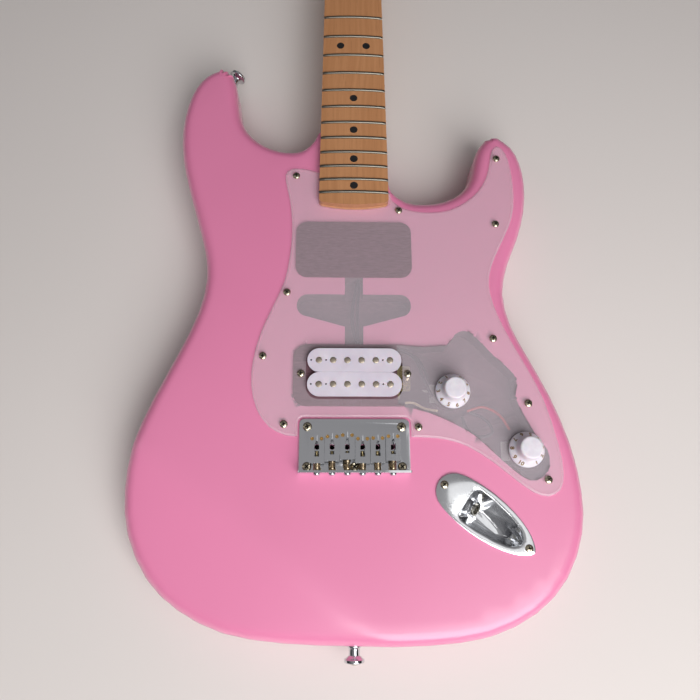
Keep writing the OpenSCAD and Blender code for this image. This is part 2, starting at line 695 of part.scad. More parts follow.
module small_screw(len) {
    translate([0, 0, -len]) cylinder(h = len + eps, d = small_screw_d);
    rotate_extrude() polygon([[0, 0], [2.1, 0], [1.8, 0.8], [0.8, 1.3], [0, 1.3]]);
}
housing_h = 9;
housing_ear = 2;
chamber_gap = 0.2;
module tuner_housings() color([0.80, 0.80, 0.82]) for (i = [1:6]) on_tuner(i)
    difference() {
        union() {
            translate([-1, -2.5, -housing_h])
                rounded_box([18, 20, housing_h], 3.5);
            tuner_screw_place() translate([0, 0, -housing_ear])
                cylinder(h = housing_ear, r = ear_r);
        }
        translate([0, 0, worm_z - 2.8])
            cylinder(h = 5.6, r = gear_r + chamber_gap);
        translate([-6, worm_y, worm_z]) rotate([0, 90, 0])
            cylinder(h = 12, r = worm_r + chamber_gap);
        translate([0, 0, worm_z]) cylinder(h = 10, d = post_d + 2 * run_fit);
        translate([-12, worm_y, worm_z]) rotate([0, 90, 0])
            cylinder(h = 8, r = button_shaft_r + run_fit);
        tuner_screw_place() translate([0, 0, -housing_ear - 1])
            cylinder(h = housing_ear + 2, d = small_screw_d);
    }
module tuner_bushings() color([0.80, 0.80, 0.82]) for (i = [1:6]) on_tuner(i)
    difference() {
        union() {
            translate([0, 0, 0.2]) cylinder(h = head_t - 0.2, r = bushing_r);
            translate([0, 0, head_t]) cylinder(h = 0.8, r = 7);
            translate([0, 0, head_t + 0.8]) cylinder(h = 1.8, r = 5.9, $fn = 6);
        }
        translate([0, 0, -1]) cylinder(h = head_t + 5, d = post_d + 2 * run_fit);
    }
post_rise = 19;
module tuner_post(i) color([0.80, 0.80, 0.82]) on_tuner(i) difference() {
    r = post_d / 2;
    h = head_t + post_rise;
    union() {
        translate([0, 0, worm_z - 2]) cylinder(h = 4, r = gear_r);
        translate([0, 0, worm_z]) cylinder(h = head_t + 7 - worm_z, r = r);
        rotate_extrude() polygon([[0, head_t + 6], [r, head_t + 6],
            [r, head_t + 7], [r - 0.7, head_t + 9], [r - 0.7, h - 4],
            [r, h - 2.5], [r, h - 0.6], [r - 0.6, h], [0, h]]);
    }
    translate([0, 0, h - 5.5]) rotate([90, 0, 0])
        cylinder(h = 10, r = 0.9, center = true);
}
module tuner_button(i) color([0.80, 0.80, 0.82]) on_tuner(i)
    translate([0, worm_y, worm_z]) {
        rotate([0, 90, 0]) translate([0, 0, -5.4])
            cylinder(h = 10.8, r = worm_r);
        rotate([0, -90, 0]) cylinder(h = 18, r = button_shaft_r);
        rotate([0, -90, 0]) translate([0, 0, 12.4]) cylinder(h = 5, r1 = 3.4, r2 = 2.6);
        translate([button_x, 0, -3.2]) linear_extrude(6.4) hull()
            for (y = [-3, 3]) translate([0, y]) circle(6.3, $fn = 32);
    }

// =================== BRIDGE ===================
module bridge_plate() color([0.80, 0.80, 0.82]) difference() {
    corner_r = 3.6;
    union() {
        translate([0, (plate_front - plate_rear) / 2, body_top]) intersection() {
            rounded_box([plate_w, plate_front + plate_rear, plate_t], corner_r);
            translate([-plate_w, -60, 0]) cube([2 * plate_w, 120, plate_t]);
        }
        translate([-plate_w / 2, -plate_rear, body_top])
            cube([plate_w, 8, plate_t]);
        translate([0, -plate_rear, body_top]) rotate([90, 0, 0])
            translate([0, (lip_top - body_top) / 2, -lip_t])
                rounded_box([plate_w, lip_top - body_top, lip_t], 0.8);
    }
    for (p = bridge_screws) translate([p[0], p[1], plate_top])
        screw_hole(body_screw_d, body_screw_head, body_screw_l);
    for (i = [1:6]) {
        translate([saddle_x(i), string_hole_y, body_top - 1])
            cylinder(h = plate_t + 2, r = 2);
        translate([saddle_x(i), -plate_rear - 1, adjuster_z])
            rotate([-90, 0, 0]) cylinder(h = lip_t + 2,
                d = adjuster_d + 2 * run_fit);
    }
}
grub_x = 3.3;
grub_back = 2.4;
grub_d = 2.6;
module saddle(i) {
    y0 = saddle_front[i - 1];
    w = string_pitch - pass_gap;
    slot_w = 3.4;
    rear_wall = 4.6;
    front_wall = 4;
    color([0.80, 0.80, 0.82]) difference() {
        translate([saddle_x(i) - w / 2, y0 - saddle_l, saddle_base])
            cube([w, saddle_l, saddle_h]);
        translate([saddle_x(i), y0 - saddle_l, adjuster_z])
            rotate([-90, 0, 0]) translate([0, 0, -1])
                cylinder(h = rear_wall + 2, d = adjuster_d + 2 * run_fit);
        // String slot, open above and below, pointed at its front
        translate([saddle_x(i), y0, saddle_base - 1])
            linear_extrude(saddle_h + 2) polygon([[-0.5, -front_wall],
                [0.5, -front_wall], [slot_w / 2, -front_wall - 4],
                [slot_w / 2, rear_wall - saddle_l],
                [-slot_w / 2, rear_wall - saddle_l],
                [-slot_w / 2, -front_wall - 4]]);
        // Groove that the string would rest in
        translate([saddle_x(i), y0 + 1, saddle_base + saddle_h + 0.2])
            rotate([90, 0, 0]) cylinder(h = front_wall + 4, r = 0.7);
        for (x = [-1, 1]) translate([saddle_x(i) + x * grub_x,
            y0 - grub_back, saddle_base - 1])
                cylinder(h = saddle_h + 2, d = grub_d + 2 * run_fit);
    }
    color([0.70, 0.52, 0.30]) for (x = [-1, 1])
        translate([saddle_x(i) + x * grub_x, y0 - grub_back, plate_top + 0.04])
            difference() {
                cylinder(h = saddle_base + saddle_h - plate_top - 0.3, d = grub_d);
                translate([0, 0, saddle_base + saddle_h - plate_top - 2])
                    cylinder(h = 3, d = 1.4, $fn = 6);
            }
}
adjuster_head_r = 2.6;
module intonation_screw(i) color([0.80, 0.80, 0.82])
    translate([saddle_x(i), -plate_rear, adjuster_z]) rotate([-90, 0, 0]) {
        translate([0, 0, -0.1])
            cylinder(h = plate_rear + adjuster_tip + 0.1, d = adjuster_d);
        difference() {
            translate([0, 0, -2.05]) cylinder(h = 2, r = adjuster_head_r);
            translate([0, 0, -1.8]) cube([0.8, 3.6, 1.4], center = true);
            translate([0, 0, -1.8]) cube([3.6, 0.8, 1.4], center = true);
        }
    }
module coil_tube(len, outer, inner) difference() {
    cylinder(h = len, r = outer);
    translate([0, 0, -1]) cylinder(h = len + 2, r = inner);
}
spring_r = 2.6;
spring_inner_r = 1.75;
module intonation_springs() color([0.75, 0.74, 0.72])
    for (i = [1:6]) translate([saddle_x(i), lip_t - plate_rear + 0.02, adjuster_z])
        rotate([-90, 0, 0]) coil_tube(plate_rear - lip_t
            + saddle_front[i - 1] - saddle_l - 0.04, spring_r, spring_inner_r);

// =================== PICKUP ===================
module poles_at() for (r = [-1, 1], i = [-2.5:2.5])
    translate([i * pole_pitch, pickup_y + r * row_gap / 2, 0]) children();
module bobbin_plan(grow) rounded_rect(
    [bobbin_l + 2 * grow, bobbin_w + 2 * grow], bobbin_w / 2 + grow - eps);
module pickup_bobbins() color([0.95, 0.94, 0.95]) difference() {
    for (r = [-1, 1]) translate([0, pickup_y + r * row_gap / 2, bobbin_z]) {
        linear_extrude(flange_t) bobbin_plan(-0.5);
        linear_extrude(bobbin_h) bobbin_plan(-5);
        translate([0, 0, bobbin_h - flange_t]) linear_extrude(flange_t)
            bobbin_plan(0);
    }
    poles_at() translate([0, 0, bobbin_z - 1]) cylinder(h = bobbin_h + 2, d = pole_d);
}
module pickup_coils() color([0.10, 0.09, 0.09])
    for (r = [-1, 1]) translate([0, pickup_y + r * row_gap / 2,
        bobbin_z + flange_t]) linear_extrude(bobbin_h - 2 * flange_t)
            difference() {
                bobbin_plan(-0.8);
                bobbin_plan(-5);
            }
module pickup_poles() color([0.62, 0.58, 0.55]) poles_at()
    translate([0, 0, base_z - base_t]) cylinder(h = bobbin_top + 0.1 - base_z + base_t,
        d = pole_d);
module pickup_magnet() color([0.30, 0.30, 0.32])
    translate([-30, pickup_y - (row_gap - pole_d) / 2, base_z])
        cube([60, row_gap - pole_d, magnet_h]);
module pickup_baseplate() color([0.72, 0.62, 0.36]) difference() {
    union() {
        translate([0, pickup_y, base_z - base_t])
            rounded_box([bobbin_l, 2 * row_gap, base_t], 3);
        for (x = [-1, 1]) {
            translate([x * (bobbin_l / 2 - 0.6), pickup_y, (ear_z + base_z) / 2])
                cube([1.2, 20, base_z - ear_z], center = true);
            translate([x * (ear_x - 1.2), pickup_y, ear_z])
                rounded_box([10, 20, 1.2], 2);
        }
    }
    poles_at() translate([0, 0, base_z - 5]) cylinder(h = 10, d = pole_d);
    for (x = [-1, 1]) translate([x * ear_x, pickup_y, ear_z - 1])
        cylinder(h = 4, d = height_screw_d + 2 * run_fit);
}
module pickup_height_screws() color([0.85, 0.84, 0.80])
    for (x = [-1, 1]) translate([x * ear_x, pickup_y, guard_top]) {
        translate([0, 0, ear_z - guard_top - 5])
            cylinder(h = guard_top - ear_z + 5, d = height_screw_d);
        rotate_extrude() polygon([[0, 0], [2.8, 0], [2.6, 0.9], [1.2, 1.6], [0, 1.6]]);
    }
module pickup_springs() color([0.75, 0.74, 0.72])
    for (x = [-1, 1]) translate([x * ear_x, pickup_y, ear_z + 1.22])
        coil_tube(body_top - ear_z - 1.24, spring_r, spring_inner_r);

// =================== CONTROLS ===================
module control_pots() color([0.70, 0.70, 0.70])
    for (p = pots) translate([p[0], p[1], 0]) difference() {
        union() {
            translate([0, 0, pot_floor]) cylinder(h = pot_h, d = pot_d);
            translate([0, 0, body_top - 2]) cylinder(h = 2, d = 12);
            translate([0, 0, body_top - 1]) cylinder(h = guard_t + 4.4, d = bushing_d);
            translate([-pot_d / 2 - 4, -7, lug_z]) cube([8, 14, lug_t]);
        }
        translate([0, 0, pot_floor + 1.5]) cylinder(h = 4.6, d = pot_d - 3);
        translate([0, 0, pot_floor + 2]) cylinder(h = 40, d = shaft_d + 2 * run_fit);
    }
module panel_nuts() color([0.80, 0.80, 0.82]) {
    for (p = pots) translate([p[0], p[1], guard_top]) difference() {
        union() {
            cylinder(h = 0.8, d = 13);
            translate([0, 0, 0.8]) cylinder(h = 2, d = 11.4, $fn = 6);
        }
        translate([0, 0, -1]) cylinder(h = 5, d = bushing_d);
    }
    on_jack() translate([0, 0, 0.05]) difference() {
        union() {
            cylinder(h = 0.8, d = 14);
            translate([0, 0, 0.8]) cylinder(h = 2.2, d = 13.4, $fn = 6);
        }
        translate([0, 0, -1]) cylinder(h = 6, d = jack_thread);
    }
}
// A turned knob: numbered skirt below, plain cap above, with its shaft
module knob(p) {
    z0 = guard_top + 0.6;
    r = knob_d / 2;
    color([0.95, 0.94, 0.94]) translate([p[0], p[1], z0]) difference() {
        rotate_extrude() polygon([[0, 0], [r, 0], [r, 1.4], [r * 0.98, 1.9],
            [r * 0.74, 4.6], [r * 0.66, 6.2], [r * 0.63, knob_h - 0.8],
            [r * 0.57, knob_h], [0, knob_h]]);
        translate([0, 0, -1]) cylinder(h = knob_gap + 2.2, r = r * 0.62);
        translate([0, 0, -1]) cylinder(h = knob_h - 1.6, d = shaft_d + 0.04);
    }
    color([0.70, 0.70, 0.70]) translate([p[0], p[1], 0]) {
        translate([0, 0, pot_floor + 2.2]) cylinder(h = 2.6, d = pot_d - 5);
        translate([0, 0, pot_floor + 2.2])
            cylinder(h = z0 + knob_h - 2.6 - pot_floor - 2.2, d = shaft_d);
    }
}
module tone_capacitor() color([0.25, 0.55, 0.25])
    translate([tone_at[0] - 17, tone_at[1] + 22, cavity_floor + 5])
        rotate([0, 0, 40]) {
            rounded_box([11, 5, 10], 2);
            for (x = [-3, 3]) translate([x, 0, -4.9]) cylinder(h = 5, d = 0.9);
        }

// =================== JACK AND STRAP ===================
jack_thread = 9.4;
module jack_cup() color([0.80, 0.80, 0.82]) difference() {
    union() {
        on_cup() linear_extrude(cup_t) polygon(closed_curve(both_sides(cup_knots), 2));
        on_cup() cup_hollow(cup_t);
    }
    on_cup() cup_hollow(0);
    on_cup() translate([0, 0, cup_t - eps]) linear_extrude(4)
        polygon(both_sides(mouth_knots));
    on_cup() for (u = [0, cup_l]) translate([u, 0, cup_t])
        screw_hole(plate_screw_d, plate_screw_head, plate_screw_l);
    on_jack() translate([0, 0, -6]) cylinder(h = 12, d = jack_thread);
}
module output_jack() color([0.78, 0.76, 0.70]) on_jack() difference() {
    union() {
        translate([0, 0, -5]) cylinder(h = 9, d = jack_thread);
        translate([0, 0, -5]) cylinder(h = 3, d = 15);
        translate([-4, -6.5, -28]) cube([1.2, 13, 25]);
        translate([-4, -6.5, -28]) cube([8, 13, 1.2]);
        translate([3.6, -2.5, -27]) cube([0.9, 5, 24]);
    }
    translate([0, 0, -6]) cylinder(h = 12, d = jack_bore);
}
module strap_buttons() color([0.80, 0.80, 0.82])
    for (s = strap_places) on_strap(s) difference() {
        rotate_extrude() polygon([[0, 0.3], [5, 0.3], [5, 1.6], [3.9, 3],
            [3.9, 7.2], [strap_d / 2 - 1, 9.2], [strap_d / 2, 9.4],
            [strap_d / 2, strap_l - 0.6], [strap_d / 2 - 0.8, strap_l],
            [0, strap_l]]);
        translate([0, 0, strap_l])
            screw_hole(body_screw_d, body_screw_head, body_screw_l);
    }

// =================== WIRES ===================
// A tube along a curve, with a ring of points at each step
module wire(knots, r, n) {
    path = open_curve(knots, n);
    m = len(path);
    s = 8;
    function along(i) = let (t = path[min(i + 1, m - 1)] - path[max(i - 1, 0)])
        t / norm(t);
    function side(i) = let (t = along(i), c = cross(t, [0.1, 0.2, 1]))
        c / norm(c);
    points = [for (i = [0:m - 1], k = [0:s - 1]) let (u = side(i),
        v = cross(along(i), u), a = 360 * k / s)
            path[i] + r * (cos(a) * u + sin(a) * v)];
    polyhedron(points, concat(
        [for (i = [0:m - 2], k = [0:s - 1], h = [0, 1]) let (a = i * s + k,
            b = i * s + (k + 1) % s, c = a + s, d = b + s)
            h == 0 ? [a, b, c] : [b, d, c]],
        [for (k = [1:s - 2]) [0, k + 1, k]],
        [for (k = [1:s - 2]) [(m - 1) * s, (m - 1) * s + k, (m - 1) * s + k + 1]]));
}
// Two wires run from the neck rout, down the channel and past the pickup, to
// either side of the volume control's lug; the rest loop round the controls
lug_z = pot_floor + 4;
lug_t = 1.2;
wire_r = 1.1;
thin_wire_r = 0.9;
module level_wire(points, z, r, n)
    wire([for (p = points) [bx(p[0]), by(p[1]), z]], r, n);
module hookup_wires() color([0.10, 0.10, 0.10]) {
    level_wire([[-16, 134], [-6, 136], [1, 130], [4, 118], [3, 100], [3, 84],
        [3.4, 74], [4.8, 68.6], [9, 65.4], [20, 65.1], [36, 65.1], [47, 61],
        [54, 50], [58.2, 36]], lug_z - wire_r - 0.1, wire_r, 3);
    level_wire([[4, 148], [5, 138], [5, 128], [2, 116], [-1, 98], [-1, 84],
        [1, 74], [4.8, 68.4], [11, 65.2], [22, 65.1], [35, 65.1], [46, 59],
        [52, 44], [58.2, 29]], lug_z + lug_t + wire_r + 0.1, wire_r, 3);
    level_wire([[84, 18], [96, 21], [108, 15], [115, 4]], body_top - 5,
        thin_wire_r, 4);
    level_wire([[80, 14], [84, 4], [92, -1], [102, 2], [100, 9], [94, 14],
        [86, 17]], body_top - 7, thin_wire_r, 3);
    level_wire([[62, 18], [52, 20], [44, 24], [38, 24]], body_top - 5,
        thin_wire_r, 3);
}
module pickup_cable() color([0.75, 0.74, 0.72])
    wire([[14, pickup_y - 4, base_z - base_t - 1.8],
        [22, pickup_y - 5, base_z - base_t - 4], [30, pickup_y - 6, ear_z - 3.5],
        [42, pickup_y - 7, ear_z - 4.5], [56, pickup_y - 9, ear_z - 3],
        [volume_at[0] - 6, volume_at[1] + 2, pot_floor - 1.9]], 1.7, 3);

body();
pickguard();
plate_screws();
body_screws();
string_ferrules();
neck();
fretboard();
frets();
position_dots();
nut();
truss_rod();
neck_plate();
neck_plate_screws();
string_trees();
headstock_screws();
tuner_housings();
tuner_bushings();
bridge_plate();
intonation_springs();
pickup_bobbins();
pickup_poles();
pickup_baseplate();
pickup_magnet();
pickup_coils();
pickup_height_screws();
pickup_springs();
pickup_cable();
knob(volume_at);  // volume_knob
knob(tone_at);  // tone_knob
control_pots();
panel_nuts();
tone_capacitor();
jack_cup();
output_jack();
strap_buttons();
hookup_wires();
for (i = [1:6]) {
    tuner_post(i);
    tuner_button(i);
    saddle(i);
    intonation_screw(i);
}
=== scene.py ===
"""The looks of a solid-body electric guitar: pink lacquer, a frosted pickguard over its
cavities, a maple neck, chrome hardware, one open-coil pickup and two numbered knobs."""

import json
import math

import bmesh
import bpy
from mathutils import Matrix, Vector, noise
from mathutils.geometry import delaunay_2d_cdt

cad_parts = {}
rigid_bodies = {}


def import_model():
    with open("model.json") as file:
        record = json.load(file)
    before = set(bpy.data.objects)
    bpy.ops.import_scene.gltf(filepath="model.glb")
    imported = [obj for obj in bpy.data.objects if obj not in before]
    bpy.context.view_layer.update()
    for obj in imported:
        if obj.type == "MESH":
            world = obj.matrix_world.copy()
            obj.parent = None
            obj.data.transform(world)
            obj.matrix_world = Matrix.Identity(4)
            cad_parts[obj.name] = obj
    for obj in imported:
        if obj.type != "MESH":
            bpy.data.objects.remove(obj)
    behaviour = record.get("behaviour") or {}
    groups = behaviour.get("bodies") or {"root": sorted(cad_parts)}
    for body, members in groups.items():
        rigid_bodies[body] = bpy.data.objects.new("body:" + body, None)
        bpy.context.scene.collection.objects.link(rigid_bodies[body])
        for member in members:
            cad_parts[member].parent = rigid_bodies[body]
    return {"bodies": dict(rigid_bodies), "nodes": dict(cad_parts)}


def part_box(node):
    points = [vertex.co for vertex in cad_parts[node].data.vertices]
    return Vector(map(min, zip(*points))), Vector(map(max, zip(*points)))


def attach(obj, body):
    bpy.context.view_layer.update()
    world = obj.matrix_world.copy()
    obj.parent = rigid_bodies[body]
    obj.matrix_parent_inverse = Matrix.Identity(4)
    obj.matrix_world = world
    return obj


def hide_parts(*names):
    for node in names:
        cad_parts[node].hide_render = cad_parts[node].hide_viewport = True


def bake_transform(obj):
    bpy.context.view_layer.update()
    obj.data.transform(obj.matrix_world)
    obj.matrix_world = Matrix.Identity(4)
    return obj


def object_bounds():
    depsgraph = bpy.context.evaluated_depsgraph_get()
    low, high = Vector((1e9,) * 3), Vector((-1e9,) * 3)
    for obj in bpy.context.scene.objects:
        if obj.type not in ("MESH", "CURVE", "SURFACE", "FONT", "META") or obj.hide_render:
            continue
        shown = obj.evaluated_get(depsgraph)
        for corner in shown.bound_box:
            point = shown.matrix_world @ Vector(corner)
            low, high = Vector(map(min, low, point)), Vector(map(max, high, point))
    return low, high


bl_info = {
    "name": "Electric Guitar",
    "version": (1, 0, 0),
    "blender": (4, 5, 0),
    "location": "View3D > Sidebar > Guitar",
    "description": "Builds the finished surfaces of an electric guitar on its CAD frame",
    "category": "Object",
}

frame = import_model()
CAD_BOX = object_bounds()
MM = 0.001
TURN = 2 * math.pi


# ---- What the frame gives: bodies, levels and places, in millimetres

def body_name(node):
    """The CAD body that a node rides on."""
    parent = frame["nodes"][node].parent
    return next(name for name, empty in frame["bodies"].items() if empty is parent)


def box_mm(node):
    low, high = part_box(node)
    return low / MM, high / MM


BODY_TOP = box_mm("body")[1].z
GUARD_TOP = box_mm("pickguard")[1].z
PLATE_TOP = BODY_TOP + 2.0
STRINGS = range(1, 7)


def section(node, z):
    """The closed outlines of a CAD node cut level at height z, largest first."""
    cut = bmesh.new()
    cut.from_mesh(frame["nodes"][node].data)
    bmesh.ops.remove_doubles(cut, verts=cut.verts, dist=1e-7)
    found = bmesh.ops.bisect_plane(
        cut, geom=cut.verts[:] + cut.edges[:] + cut.faces[:],
        plane_co=(0, 0, z * MM), plane_no=(0, 0, 1))
    edges = {e for e in found["geom_cut"] if isinstance(e, bmesh.types.BMEdge)}
    loops = []
    while edges:
        edge = edges.pop()
        start, at = edge.verts
        loop = [start.co.xy / MM, at.co.xy / MM]
        while at is not start:
            edge = next((e for e in at.link_edges if e in edges), None)
            if edge is None:
                break
            edges.discard(edge)
            at = edge.other_vert(at)
            loop.append(at.co.xy / MM)
        if at is start and len(loop) > 3:
            loops.append(clockwise(loop[:-1]))
    cut.free()
    return sorted(loops, key=lambda loop: -abs(area(loop)))


def area(loop):
    return sum(a.x * b.y - b.x * a.y for a, b in zip(loop, loop[1:] + loop[:1])) / 2


def clockwise(loop):
    return loop if area(loop) < 0 else loop[::-1]


def thinned(loop, gap):
    """The loop without points that crowd closer than gap."""
    kept = [loop[0]]
    for point in loop[1:]:
        if (point - kept[-1]).length > gap:
            kept.append(point)
    return kept


def smooth_loop(loop, steps):
    """A centripetal Catmull-Rom curve through a closed loop's points."""
    count, made = len(loop), []
    for i in range(count):
        p = [loop[(i + k) % count] for k in (-1, 0, 1, 2)]
        made += [curve_point(p, j / steps) for j in range(steps)]
    return made


def smooth_path(points, steps):
    """A centripetal Catmull-Rom curve through an open path's points."""
    p = [Vector(q) for q in points]
    ends = [2 * p[0] - p[1]] + p + [2 * p[-1] - p[-2]]
    made = [curve_point(ends[i:i + 4], j / steps)
            for i in range(len(p) - 1) for j in range(steps)]
    return made + [p[-1]]


def curve_point(p, u):
    t = [0.0]
    for a, b in zip(p, p[1:]):
        t.append(t[-1] + math.sqrt(max((b - a).length, 0.001)))
    at = t[1] + (t[2] - t[1]) * u

    def mix(a, b, ta, tb):
        return (a * (tb - at) + b * (at - ta)) / (tb - ta)

    a1, a2, a3 = (mix(p[i], p[i + 1], t[i], t[i + 1]) for i in range(3))
    return mix(mix(a1, a2, t[0], t[2]), mix(a2, a3, t[1], t[3]), t[1], t[2])


# ---- Mesh helpers; points are in millimetres until a mesh is made

def piece(name, points, faces, material, body="instrument", slot=None, smooth=35):
    """A mesh object that rides on a CAD body."""
    mesh = bpy.data.meshes.new(name)
    mesh.from_pydata([Vector(p) * MM for p in points], [], faces)
    return placed(name, mesh, material, body, smooth)


def placed(name, mesh, material, body="instrument", smooth=35):
    for one in material if isinstance(material, (list, tuple)) else [material]:
        mesh.materials.append(one)
    mesh.validate()
    mesh.shade_smooth()
    mesh.set_sharp_from_angle(angle=math.radians(smooth))
    made = bpy.data.objects.new(name, mesh)
    bpy.context.scene.collection.objects.link(made)
    if body:
        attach(made, body)
    return made


def joined(parts):
    """Several (points, faces) as one."""
    points, faces = [], []
    for some_points, some_faces in parts:
        faces += [[i + len(points) for i in f] for f in some_faces]
        points += some_points
    return points, faces


def moved(part, matrix):
    points, faces = part
    return [matrix @ Vector(p) for p in points], faces


def lathe(profile, sides=48):
    """A turned part from (radius, height) pairs, closed where the radius is zero."""
    points, rows = [], []
    for r, z in profile:
        if r < 1e-6:
            rows.append([len(points)])
            points.append(Vector((0, 0, z)))
        else:
            rows.append(list(range(len(points), len(points) + sides)))
            points += [Vector((r * math.cos(TURN * k / sides),
                               r * math.sin(TURN * k / sides), z))
                       for k in range(sides)]
    faces = []
    for a, b in zip(rows, rows[1:]):
        for k in range(sides):
            n = (k + 1) % sides
            if len(a) == 1 and len(b) > 1:
                faces.append([a[0], b[n], b[k]])
            elif len(b) == 1 and len(a) > 1:
                faces.append([a[k], a[n], b[0]])
            elif len(a) > 1:
                faces.append([a[k], a[n], b[n], b[k]])
    return points, faces


def tube(path, radius, sides=12):
    """A round tube along a path, with closed ends."""
    path = [Vector(p) for p in path]
    along = [(path[min(i + 1, len(path) - 1)] - path[max(i - 1, 0)]).normalized()
             for i in range(len(path))]
    side = along[0].orthogonal().normalized()
    points, faces = [], []
    for p, t in zip(path, along):
        side = (side - t * side.dot(t)).normalized()
        up = t.cross(side)
        points += [p + radius * (math.cos(TURN * k / sides) * side
                                 + math.sin(TURN * k / sides) * up)
                   for k in range(sides)]
    for i in range(len(path) - 1):
        for k in range(sides):
            a, b = i * sides + k, i * sides + (k + 1) % sides
            faces.append([a, b, b + sides, a + sides])
    faces.append(list(range(sides))[::-1])
    faces.append(list(range(len(points) - sides, len(points))))
    return points, faces


def coil(radius, wire, length, turns, steps=20):
    """A compression spring along +Z with a closed turn at each end."""
    path = []
    for i in range(turns * steps + 1):
        turn = i / steps
        rise = min(max((turn - 0.75) / (turns - 1.5), 0), 1)
        a = TURN * turn
        path.append((radius * math.cos(a), radius * math.sin(a),
                     wire + rise * (length - 2 * wire)))
    return tube(path, wire, 8)


def prism(loop, z0, z1):
    """A straight-sided block on a flat outline."""
    loop = clockwise(loop)[::-1]
    count = len(loop)
    points = [Vector((p.x, p.y, z)) for z in (z0, z1) for p in loop]
    faces = [list(range(count))[::-1], list(range(count, 2 * count))]
    faces += [[k, (k + 1) % count, count + (k + 1) % count, count + k]
              for k in range(count)]
    return points, faces


def inward(loop, i):
    """The inward normal of a clockwise loop at point i."""
    t = (loop[(i + 1) % len(loop)] - loop[i - 1]).normalized()
    return Vector((t.y, -t.x))


def read(item):
    """An object's points and faces; the object is then removed."""
    part = ([v.co / MM for v in item.data.vertices],
            [list(f.vertices) for f in item.data.polygons])
    bpy.data.objects.remove(item)
    return part


def carved(blank, cutters, material=None, how="DIFFERENCE"):
    """The blank's mesh after the cutters, each (points, faces), are cut from it."""
    for part in cutters:
        tool = piece("cutter", *part, material or blank.data.materials[0], body=None)
        cut = blank.modifiers.new("cut", "BOOLEAN")
        cut.operation, cut.solver, cut.object = how, "EXACT", tool
        cut.material_mode = "TRANSFER"
        graph = bpy.context.evaluated_depsgraph_get()
        graph.update()
        mesh = bpy.data.meshes.new_from_object(blank.evaluated_get(graph))
        blank.modifiers.clear()
        old, blank.data = blank.data, mesh
        bpy.data.meshes.remove(old)
        bpy.data.objects.remove(tool)
    return blank


def softened(node, width, material, name=None, sides=2):
    """A copy of a CAD node with its sharp edges eased, in place of the node."""
    shape = bmesh.new()
    shape.from_mesh(frame["nodes"][node].data)
    bmesh.ops.remove_doubles(shape, verts=shape.verts, dist=1e-6)
    bmesh.ops.dissolve_limit(shape, angle_limit=math.radians(1.5),
                             verts=shape.verts, edges=shape.edges)
    mesh = bpy.data.meshes.new(name or node)
    shape.to_mesh(mesh)
    shape.free()
    made = placed(name or f"{node}_finished", mesh, material, body_name(node), 30)
    if width:
        edge = made.modifiers.new("edges", "BEVEL")
        edge.width, edge.segments = width * MM, sides
        edge.limit_method, edge.angle_limit = "ANGLE", math.radians(32)
        edge.harden_normals = True
    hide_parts(node)
    return made


def kept(node, material):
    """A CAD node that stays as it is, with its finish."""
    mesh = frame["nodes"][node].data
    mesh.materials.clear()
    mesh.materials.append(material)


# ---- Materials

def srgb(text):
    """A hex colour as linear red, green, blue and alpha."""
    parts = [int(text[i:i + 2], 16) / 255 for i in (1, 3, 5)]
    return [p / 12.92 if p <= 0.04045 else ((p + 0.055) / 1.055) ** 2.4
            for p in parts] + [1.0]


def add(tree, kind, inputs=None, **settings):
    """Adds a node, with its settings, and its inputs as values or as links."""
    made = tree.nodes.new(kind)
    for key, value in settings.items():
        setattr(made, key, value)
    for key, value in (inputs or {}).items():
        if isinstance(value, bpy.types.NodeSocket):
            tree.links.new(value, made.inputs[key])
        else:
            made.inputs[key].default_value = value
    return made


def surface(name, colour, **inputs):
    """A new material: its tree, its shader, and its place in the frame."""
    material = bpy.data.materials.new(name)
    material.use_nodes = True
    tree = material.node_tree
    shader = tree.nodes["Principled BSDF"]
    shader.inputs["Base Color"].default_value = srgb(colour)
    for key, value in inputs.items():
        shader.inputs[key.replace("_", " ").title().replace("Ior", "IOR")] \
            .default_value = value
    place = add(tree, "ShaderNodeTexCoord").outputs["Object"]
    return material, tree, shader, place


def grain(tree, place, size_mm, detail=3.0, stretch=(1, 1, 1)):
    """A noise whose features are about size_mm across."""
    scaled = add(tree, "ShaderNodeMapping", {"Vector": place, "Scale": stretch})
    return add(tree, "ShaderNodeTexNoise", {
        "Vector": scaled.outputs["Vector"], "Scale": 1 / (size_mm * MM),
        "Detail": detail}).outputs["Fac"]


def spread(tree, value, low, high):
    """A 0 to 1 value stretched to a range."""
    return add(tree, "ShaderNodeMapRange", {
        "Value": value, "From Min": 0.3, "From Max": 0.7,
        "To Min": low, "To Max": high}).outputs["Result"]


def blend_colours(tree, value, first, second):
    return add(tree, "ShaderNodeMix", {0: value, 6: srgb(first), 7: srgb(second)},
               data_type="RGBA").outputs[2]


def bump(tree, shader, height, strength, depth_mm):
    made = add(tree, "ShaderNodeBump", {
        "Height": height, "Strength": strength, "Distance": depth_mm * MM})
    tree.links.new(made.outputs["Normal"], shader.inputs["Normal"])


def pink_lacquer(colour, shade):
    """Polyurethane lacquer, sprayed and buffed: deep even colour under a clear coat
    that mirrors soft lights, with a faint orange peel."""
    made, tree, shader, place = surface(
        "pink_polyurethane_lacquer", colour, roughness=0.42, coat_weight=1.0,
        coat_roughness=0.2, coat_ior=1.45)
    cloud = grain(tree, place, 160, 2)
    tree.links.new(blend_colours(tree, spread(tree, cloud, 0, 1), colour, shade),
                   shader.inputs["Base Color"])
    bump(tree, shader, grain(tree, place, 3.0, 1), 0.04, 0.08)
    return made


def cavity_paint_painted_shade():
    """Matt cavity paint with brushed streaks; its dark mauve-grey is painted shade,
    darkening the cavities where shade falls under the guard.
    """
    made, tree, shader, place = surface("dark_cavity_painted_shade", "#6C4A54",
                                        roughness=0.8)
    streak = grain(tree, place, 5, 4, (1, 5, 3))
    tree.links.new(blend_colours(tree, spread(tree, streak, 0, 1), "#64444D",
                                 "#7A5660"), shader.inputs["Base Color"])
    bump(tree, shader, streak, 0.4, 0.2)
    return made


